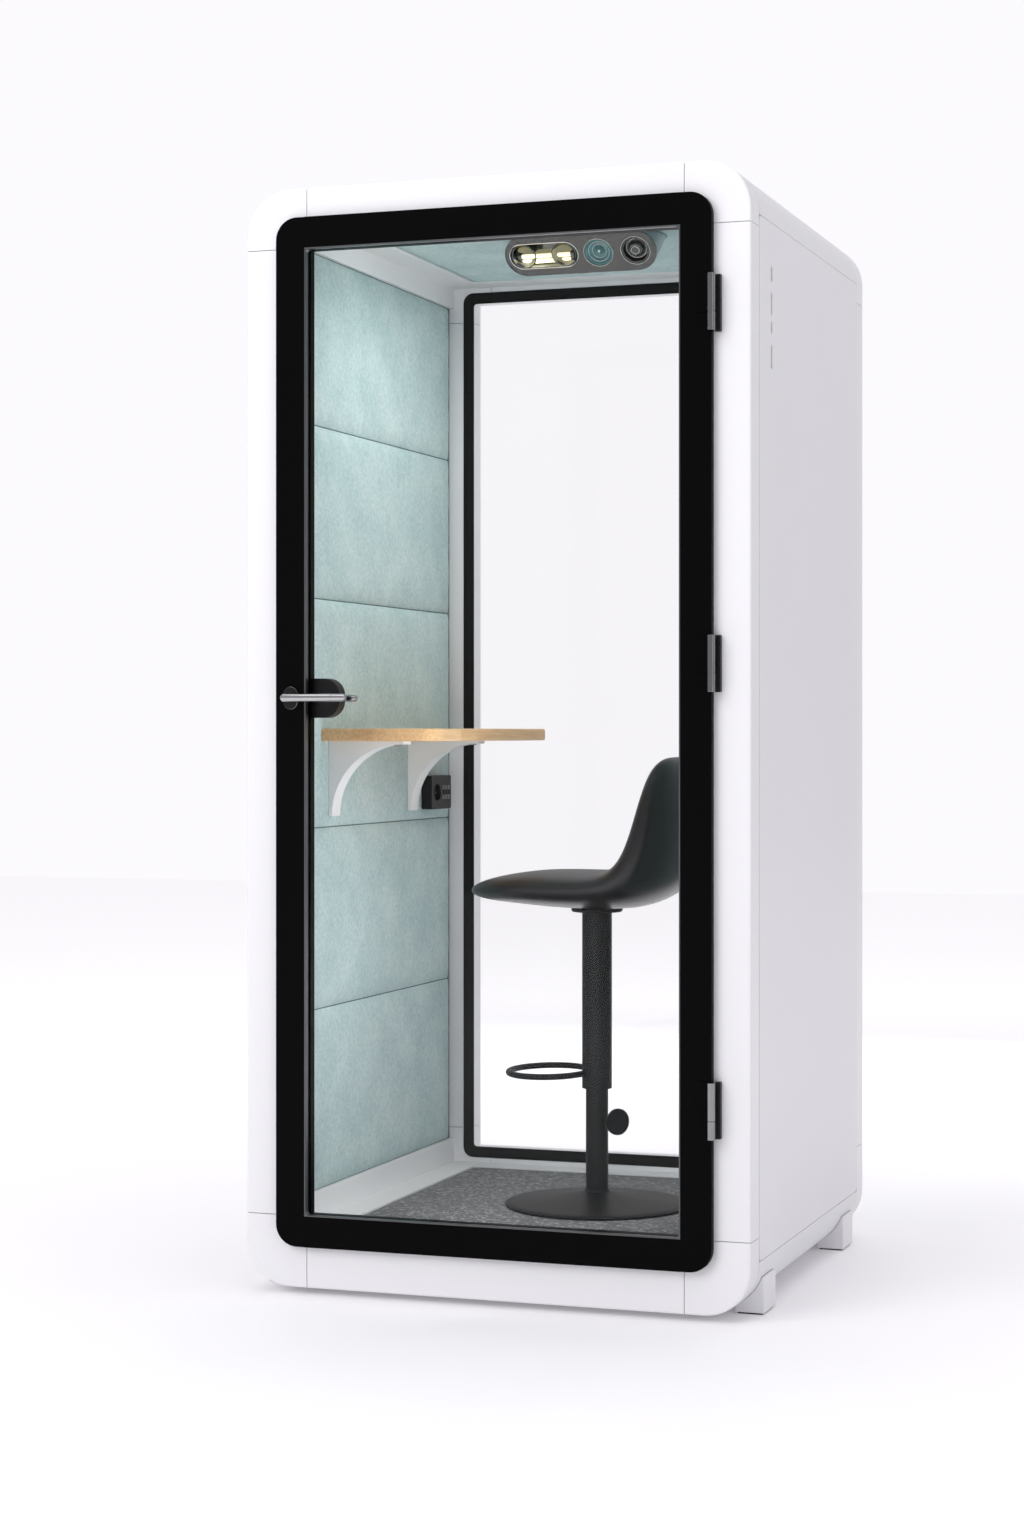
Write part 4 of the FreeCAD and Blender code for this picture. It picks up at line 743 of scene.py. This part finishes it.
# A closed thin pad: its face is a fine grid on one side of an axis, dropping off to its edges
def padMesh(name, low, high, axis, side, cells=None):
    across = [index for index in range(3) if index != axis]
    sizes = [high[index] - low[index] for index in across]
    counts = [max(8, round(size / (cells or felt["cell"]))) for size in sizes]
    face = high[axis] if side > 0 else low[axis]
    back = low[axis] if side > 0 else high[axis]
    depth = abs(face - back)
    work = bmesh.new()
    layers = []
    for layer in range(2):
        grid = []
        for i in range(counts[0] + 1):
            row = []
            for j in range(counts[1] + 1):
                spot = [0, 0, 0]
                spot[across[0]] = low[across[0]] + sizes[0] * i / counts[0]
                spot[across[1]] = low[across[1]] + sizes[1] * j / counts[1]
                if layer:
                    spot[axis] = back
                else:
                    near = min(i / counts[0] * sizes[0], (1 - i / counts[0]) * sizes[0],
                               j / counts[1] * sizes[1], (1 - j / counts[1]) * sizes[1])
                    drop = max(0.0, 1 - near / felt["edge"]) ** 2
                    sunk = felt["start"] + drop * (depth - felt["start"]) * felt["edgeDrop"]
                    spot[axis] = face - side * sunk
                row.append(work.verts.new(spot))
            grid.append(row)
        layers.append(grid)
    for layer, grid in enumerate(layers):
        for i in range(counts[0]):
            for j in range(counts[1]):
                work.faces.new((grid[i][j], grid[i + 1][j], grid[i + 1][j + 1], grid[i][j + 1]))
    front, rear = layers
    rim = ([(i, 0) for i in range(counts[0])] + [(counts[0], j) for j in range(counts[1])]
           + [(i, counts[1]) for i in range(counts[0], 0, -1)] + [(0, j) for j in range(counts[1], 0, -1)])
    for index, (i, j) in enumerate(rim):
        k, m = rim[(index + 1) % len(rim)]
        work.faces.new((front[i][j], front[k][m], rear[k][m], rear[i][j]))
    return fromBmesh(name, work)


# inflates a pad with its back and edges held, then limits how far each point has moved
def swell(piece, axis, face, back):
    start = [vert.co.copy() for vert in piece.data.vertices]
    depth = abs(face - back)
    held = piece.vertex_groups.new(name="held")
    for vert in piece.data.vertices:
        sunk = abs(vert.co[axis] - face)
        held.add([vert.index], 1.0 if sunk > felt["start"] + depth * 0.05 else 0.0, "REPLACE")
    cloth = piece.modifiers.new("cloth", "CLOTH")
    for setting, value in clothSettings.items():
        setattr(cloth.settings, setting, value)
    cloth.settings.effector_weights.gravity = 0
    cloth.collision_settings.use_collision = False
    cloth.collision_settings.use_self_collision = False
    cloth.point_cache.frame_start = 1
    cloth.point_cache.frame_end = felt["frames"]
    for step in range(1, felt["frames"] + 1):
        bpy.context.scene.frame_set(step)
    applyModifiers(piece)
    bpy.context.scene.frame_set(1)
    for vert, before in zip(piece.data.vertices, start):
        move = vert.co - before
        if move.length > felt["cap"]:
            vert.co = before + move * (felt["cap"] / move.length)
    piece.vertex_groups.clear()
    return piece


# the box of each separate solid in a CAD node
def nodeSolids(node):
    work = bmesh.new()
    work.from_mesh(frame["nodes"][node].data)
    bmesh.ops.remove_doubles(work, verts=work.verts, dist=1e-6)
    left = set(work.verts)
    boxes = []
    while left:
        stack = [left.pop()]
        island = list(stack)
        while stack:
            for edge in stack.pop().link_edges:
                for vert in edge.verts:
                    if vert in left:
                        left.remove(vert)
                        stack.append(vert)
                        island.append(vert)
        low = Vector(min(vert.co[i] for vert in island) for i in range(3))
        high = Vector(max(vert.co[i] for vert in island) for i in range(3))
        boxes.append((low, high))
    work.free()
    return sorted(boxes, key=lambda corners: corners[0].z)


def makeFelts():
    panels = []
    for index, (low, high) in enumerate(nodeSolids("left_wall_felts")):
        panels.append(padMesh(f"felt_{index}", low, high, 0, 1))
    wall = join("left_felt_pads", *panels)
    low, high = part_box("left_wall_felts")
    swell(wall, 0, high.x, low.x)
    subdivide(wall, 1)
    right = newPiece("right_felt_pads", wall.data.copy())
    right.data.transform(Matrix.Scale(-1, 4, (1, 0, 0)))
    right.data.flip_normals()
    for piece, node in ((wall, "left_wall_felts"), (right, "right_wall_felts")):
        shadeSmooth(piece, 60)
        finish(piece, "cabin", "felt", node)

    low = Vector((-felt["ceilingHalf"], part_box("ceiling_felt")[0].y, felt["ceilingLow"]))
    high = Vector((felt["ceilingHalf"], felt["ceilingRear"], felt["ceilingHigh"]))
    ceiling = padMesh("ceiling_felt_pad", low, high, 2, -1, cells=felt["ceilingCell"])
    swell(ceiling, 2, low.z, high.z)
    cutter = consoleBlock("console_cutter", felt["holeGap"], -170, 20)
    cut = ceiling.modifiers.new("console_hole", "BOOLEAN")
    cut.object = cutter
    cut.operation = "DIFFERENCE"
    cut.solver = "EXACT"
    bpy.context.view_layer.update()
    applyModifiers(ceiling)
    bpy.data.objects.remove(cutter)
    shadeSmooth(ceiling, 60)
    finish(ceiling, "cabin", "felt", "ceiling_felt")


def subdivide(piece, levels):
    modifier = piece.modifiers.new("smooth", "SUBSURF")
    modifier.levels = levels
    modifier.render_levels = levels
    modifier.boundary_smooth = "PRESERVE_CORNERS"
    bpy.context.view_layer.update()
    return applyModifiers(piece)


# ceiling console: chrome pod with a lamp, a dish and an air nozzle

# profiles are (radius, height, own corner radius) in mm
console = {
    "spot": (0.077, -0.137, 2.14768), "tilt": 126, "length": 332, "height": 92,
    "lampX": -80, "dishX": 40, "nozzleX": 120.5, "bowlShift": 44, "lampRim": (151, 57, 5.2), "rimBar": 1.2,
    "bowl": [(26.2, 3.2), (27.2, 4.6), (26.4, 5.6), (24.6, 5.2), (22.5, -4), (17.5, -13), (9, -19), (0, -21),
             (0, -22.2), (10, -20.4), (19, -14.4), (24.4, -4)],
    "dish": [(30, -14), (30, 3.6), (29, 4.6), (27, 4.4), (24, 0.5), (22.5, 0.8), (21, -2.2), (17, -4.4),
             (15.5, -4.0), (14, -6.2), (9.5, -7.6), (8.4, -6.4), (7, -3.2), (4.2, -1.4), (0, -1.0), (0, -14)],
    "button": [(0, -2), (3.4, -2), (3.0, 0.6), (0, 1.0)],
    "nozzle": [(30, -14), (30, 3.6), (29, 5.2), (26.5, 5.0), (25, 2), (23.5, -3), (20.5, -6.6), (18.6, -6.8),
               (17.5, -3), (15.8, 1.2), (12.8, 4.4), (9.4, 5.6), (7.8, 3.4), (5.6, 2.4), (0, 3.0), (0, -14)]}
consolePlace = Matrix.Translation(console["spot"]) @ Matrix.Rotation(math.radians(console["tilt"]), 4, "X")


# points of a long round-ended outline in mm
def stadium(length, height, steps=24):
    radius = height / 2
    straight = (length - height) / 2
    points = []
    for side in (1, -1):
        for step in range(steps + 1):
            angle = math.radians(-90 + 180 * step / steps)
            points.append((side * (straight + radius * math.cos(angle)), side * radius * math.sin(angle)))
    return points


def consoleBlock(name, grow, low, high):
    outline = stadium(console["length"] + grow * 2, console["height"] + grow * 2)
    count = len(outline)
    points = [consolePlace @ (Vector((x, y, z)) * mm) for z in (low, high) for x, y in outline]
    faces = [tuple(range(count))[::-1], tuple(range(count, count * 2))]
    faces += [(i, (i + 1) % count, count + (i + 1) % count, count + i) for i in range(count)]
    return addMesh(name, points, faces)


def consoleLathe(name, profile, x):
    turn = consolePlace @ Matrix.Translation(Vector((x, 0, 0)) * mm)
    return lathe(name, profile, (0, 0, 0), steps=64, turn=turn)


def makeConsole():
    softened("console_housing", 0.5, 2)
    softened("console_bezel", 1.4, 3, material="bezelChrome")
    softened("lamp_reflector", 0.5, 2)
    bowls = []
    for index, shift in enumerate((-console["bowlShift"], console["bowlShift"])):
        bowls.append(consoleLathe(f"bowl_{index}", console["bowl"], console["lampX"] + shift))
    bowl = join("lamp_bowls", *bowls)
    finish(bowl, "cabin", "reflector", material="reflector")
    softened("lamp_tubes", 0.6, 3)
    dish = consoleLathe("vent_dish_finished", rounded(console["dish"], 0.6, 3), console["dishX"])
    finish(dish, "cabin", "dish", "vent_dish")
    nozzle = consoleLathe("air_nozzle_finished", rounded(console["nozzle"], 0.7, 3), console["nozzleX"])
    finish(nozzle, "cabin", "dark_metal", "air_nozzle", material="bezelChrome")
    rings = []
    for x, radius, height in ((console["dishX"], 30.6, 4.6), (console["nozzleX"], 30.6, 4.6),
                              (console["dishX"], 21.6, -0.6), (console["dishX"], 14.6, -4.6),
                              (console["nozzleX"], 20.8, -6.2), (console["nozzleX"], 7.6, 4.4)):
        top = height + 1.3
        hoop = [(radius, height), (radius + 1.5, height), (radius + 1.3, top), (radius + 0.2, top)]
        rings.append(consoleLathe(f"hoop_{len(rings)}", rounded(hoop, 0.4, 3), x))
    rings.append(consoleLathe("dish_button", rounded(console["button"], 0.6, 3), console["dishX"]))
    length, wide, lift = console["lampRim"]
    edge = [consolePlace @ (Vector((x + console["lampX"], y, lift)) * mm) for x, y in stadium(length, wide,
    12)]
    rings.append(tube("lamp_rim", edge, console["rimBar"] * mm, closed=True, sides=12))
    finish(join("console_hoops", *rings), "cabin", "chrome", material="hoopChrome")


# seat: moulded shell with a soft skin

seat = {"x": 68, "y": 6.5, "around": 56, "upperCurve": 2.5, "lowerCurve": 2.15, "fill": 0.95,
        "tray": [(0, 758.6), (52, 758.6), (55, 761), (55, 766.4), (0, 766.4)],
        "pivot": [(0, 714), (12, 714), (12, 760), (0, 760)]}
# upper or front line, lower or rear line, half width and how far down the rim lies, in mm
seatStations = [
    ((-182, 815), (-182, 797), 92, 0.5), ((-174, 823), (-175, 788.5), 128, 0.5),
    ((-140, 834), (-140, 780), 165, 0.47), ((-95, 842), (-95, 777), 190, 0.44),
    ((-48, 847), (-40, 771), 199, 0.42), ((27, 847), (33, 766.6), 202, 0.4),
    ((85, 846), (110, 766.6), 203, 0.38), ((118, 851), (165, 769), 203, 0.36),
    ((143, 866), (212, 783), 203, 0.35), ((162, 895), (252, 808), 202, 0.35),
    ((177, 940), (277, 850), 198, 0.36), ((189, 983), (285, 918), 193, 0.38),
    ((201, 1022), (288, 983), 187, 0.4), ((213, 1055), (286, 1035), 174, 0.42),
    ((225, 1076), (280, 1066), 152, 0.45), ((238, 1088), (270, 1082), 120, 0.5),
    ((250, 1091.5), (258, 1090), 78, 0.5)]


def makeSeat():
    points, faces = [], []
    around = seat["around"]
    for upper, lower, wide, drop in seatStations:
        top, bottom = Vector((upper[0], 0, upper[1])), Vector((lower[0], 0, lower[1]))
        rim = top.lerp(bottom, drop)
        for step in range(around):
            angle = 2 * math.pi * step / around
            c, s = math.cos(angle), math.sin(angle)
            power = 2 / (seat["upperCurve"] if s >= 0 else seat["lowerCurve"])
            across = math.copysign(abs(c) ** power, c) * wide
            lift = (top - rim) * abs(s) ** power if s >= 0 else (bottom - rim) * abs(s) ** power
            points.append((rim + lift + Vector((0, across + seat["y"], 0))) * mm)
    count = len(seatStations)
    for station in range(count - 1):
        for step in range(around):
            after = (step + 1) % around
            a, b = station * around, (station + 1) * around
            faces.append((a + step, a + after, b + after, b + step))
    faces.append(tuple(range(around))[::-1])
    faces.append(tuple(range((count - 1) * around, count * around)))
    piece = fromBmesh("seat_pad", newWork(points, faces))
    subdivide(piece, 2)
    shadeSmooth(piece, 80)
    finish(piece, "seat", "seat", "seat_shell")
    place = Matrix.Translation((seat["x"] * mm, seat["y"] * mm, 0))
    tray = lathe("seat_tray", rounded(seat["tray"], 1.5, 3), (0, 0, 0), turn=place)
    pivot = lathe("seat_pivot", rounded(seat["pivot"], 0.6, 3), (0, 0, 0), turn=place)
    finish(join("seat_mount", tray, pivot), "seat", "dark_metal", "seat_plate")


# stool: domed base, telescoping column, foot loop and clamp knob

stool = {
    "x": 0.068, "y": 0.0065, "knobZ": 0.316, "knobTurn": -34, "ribs": 40, "ribRadius": 27.1, "ribReach": 70.3,
    "dome": [(24, 130), (194, 130), (197, 132), (197, 135, 3), (188, 138.5, 6), (120, 147, 60), (60, 155, 40),
             (32, 159.5, 10), (28.5, 161), (24, 161)],
    "collar": [(24, 160), (27.6, 160), (27.2, 163, 1.5), (24.6, 166), (24, 166)],
    "knob": [(0, 18.3), (5, 18.3), (5, 60), (10, 60.5), (12, 62, 1.5), (25.4, 62.6, 2), (27.2, 65),
             (27.2, 75.5, 2),
             (24.6, 77.8, 2), (8, 77.2, 4), (0, 77.2)],
    "rib": [(0, -5.2), (0.9, -5.2), (0.9, 5.2), (0, 5.2)]}


def stoolLathe(name, profile):
    return lathe(name, rounded(profile, 1.0), (0, 0, 0), steps=96,
                 turn=Matrix.Translation((stool["x"], stool["y"], 0)))


def makeStool():
    finish(stoolLathe("stool_base_finished", stool["dome"]), "cabin", "dark_metal", "stool_base")
    softened("stool_lower_tube", 0.5, 2)
    finish(stoolLathe("column_weld", stool["collar"]), "cabin", "dark_metal")
    softened("stool_sleeve", 1.0, 3)
    softened("foot_ring", 0.3, 1, angle=60)
    turn = (Matrix.Translation((stool["x"], stool["y"], stool["knobZ"]))
            @ Matrix.Rotation(math.radians(stool["knobTurn"]), 4, "Z")
            @ Matrix.Rotation(math.radians(90), 4, "Y"))
    knob = lathe("clamp_knob_finished", rounded(stool["knob"], 0.8), (0, 0, 0), steps=96, turn=turn)
    finish(knob, "knob", "black_plastic", "clamp_knob")
    rib = lathe("rib_source", rounded(stool["rib"], 0.4), (0, 0, 0), steps=12)
    spots = []
    for index in range(stool["ribs"]):
        angle = 2 * math.pi * index / stool["ribs"]
        x, y = stool["ribRadius"] * math.cos(angle), stool["ribRadius"] * math.sin(angle)
        spot = turn @ (Vector((x, y, stool["ribReach"])) * mm)
        spots.append((spot, turn.to_euler()))
    repeat("knob_ribs", rib, spots, "knob", "black_plastic", "blackPlastic")


# table, brackets and socket box

# shares run along the socket box from its low end; profiles are (radius, depth) in mm
socket = {
    "outletShare": 0.3, "portShares": (0.6, 0.74, 0.88),
    "portLift": 11, "contactShift": 9.5, "contactDepth": 7.9,
    "rim": [(18.9, -3), (20.6, 0), (20.6, 0.9), (18.9, 0.9)], "floor": [(0, -9), (18.8, -9), (18.8, -8),
            (0, -8)],
    "contact": [(0, 0), (2.4, 0), (2.4, 0.5), (1.7, 0.5), (1.7, 0.2), (0, 0.2)],
    "port": [(3.6, -0.6), (5.0, -0.6), (5.0, 0.7), (3.6, 0.7)]}


def makeTable():
    softened("table_top", 3, 4, angle=50)
    softened("table_brackets", 1.6, 3)
    softened("socket_box", 1.0, 3)
    softened("bracket_screws", 0.4, 2)
    low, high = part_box("socket_box")
    middle = (low.z + high.z) / 2
    outletY = low.y + (high.y - low.y) * socket["outletShare"]
    outlet = (high.x, outletY, middle)
    rim = lathe("outlet_rim", rounded(socket["rim"], 0.3), outlet, axis="X")
    floor = lathe("outlet_floor", rounded(socket["floor"], 0.3), outlet, axis="X")
    finish(join("socket_trim", rim, floor), "cabin", "black_plastic")
    ports = []
    for share in socket["portShares"]:
        for lift in (-socket["portLift"], socket["portLift"]):
            ring = rounded(socket["port"], 0.25)
            spot = (high.x, low.y + (high.y - low.y) * share, middle + lift * mm)
            ports.append(lathe(f"port_{len(ports)}", ring, spot, axis="X", steps=32))
    finish(join("socket_ports", *ports), "cabin", "steel", material="steel")
    pin = lathe("socket_pin_source", rounded(socket["contact"], 0.1), (0, 0, 0), steps=24)
    turned = (0, math.radians(90), 0)
    back = high.x - socket["contactDepth"] * mm
    spots = [((back, outletY + side * socket["contactShift"] * mm, middle), turned) for side in (-1, 1)]
    repeat("socket_contacts", pin, spots, "cabin", "steel", "steel")


# lever handles, roses and lock case

handle = {"x": -0.423, "z": 1.2125, "neckRadius": 7}
# y in m; neck ends, bar radius and length in mm
levers = {"outer_lever": (-0.536, (-536, -501.5), 8.5, 134),
          "inner_lever": (-0.4075, (-435.5, -407.5), 8.0, 106)}


# A lever: a neck off the door, a bent elbow and a slightly tapering grip with a grooved end
def makeLever(name, y, neck, radius, length):
    grip = [(0, 0), (radius, 0), (radius, 60), (radius * 0.97, length - 34), (radius * 0.9, length - 33.2),
            (radius * 0.9, length - 32), (radius * 0.97, length - 31.2), (radius * 0.95, length - 10, 4),
            (radius * 0.8, length - 3, 4), (radius * 0.45, length, 3), (0, length)]
    bar = lathe(name + "_grip", rounded(grip, 0.5), (handle["x"], y, handle["z"]), axis="X", steps=64)
    low, high = neck
    wide = handle["neckRadius"]
    shank = [(0, low), (wide, low), (wide, low + 3), (wide, high), (0, high)]
    neck = lathe(name + "_neck", rounded(shank, 0.4), (handle["x"], 0, handle["z"]), axis="Y", steps=64)
    ball = []
    for step in range(17):
        angle = math.radians(-90 + 180 * step / 16)
        ball.append((radius * math.cos(angle), radius * math.sin(angle)))
    elbow = lathe(name + "_elbow", ball, (handle["x"], y, handle["z"]), steps=64)
    return join(name, bar, neck, elbow)


def makeHandle():
    outer, inner = [makeLever(name, *sizes) for name, sizes in levers.items()]
    pair = join("lever_handles_finished", outer, inner)
    finish(pair, "handle", "chrome", "lever_handles", material="chromeX")

    def rim(face):
        return abs(face.normal.y) < 0.8

    softened("handle_roses", 0.9, 3, pick=("chromeX", rim))
    softened("lock_case", 2.4, 4)
    softened("latch_bolt", 0.6, 2)


# carpet: a low pile with a soft edge

carpet = {"cell": 12 * mm, "rim": 1 * mm, "sunk": 0.5 * mm, "roughness": 0.4 * mm, "scale": 22}


def makeCarpet():
    low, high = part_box("carpet")
    piece = padMesh("carpet_pile", low, high, 2, 1, cells=carpet["cell"])
    for vert in piece.data.vertices:
        if vert.co.z > low.z + carpet["rim"]:
            swing = noise.noise(vert.co * carpet["scale"]) * carpet["roughness"]
            vert.co.z = high.z - carpet["sunk"] + swing
    subdivide(piece, 1)
    shadeSmooth(piece, 50)
    finish(piece, "cabin", "carpet", "carpet")


makeFelts()
print("felts done")
makeConsole()
print("console done")
makeSeat()
makeStool()
print("stool done")
makeTable()
makeHandle()
makeCarpet()
print("fittings done")


# CAD nodes that stay as they are

def paintNodes():
    for node, piece in frame["nodes"].items():
        for index in range(len(piece.material_slots)):
            piece.material_slots[index].material = materials[slotMaterial[nodeSlot[node]]]
        if not piece.material_slots:
            piece.data.materials.append(materials[slotMaterial[nodeSlot[node]]])


paintNodes()
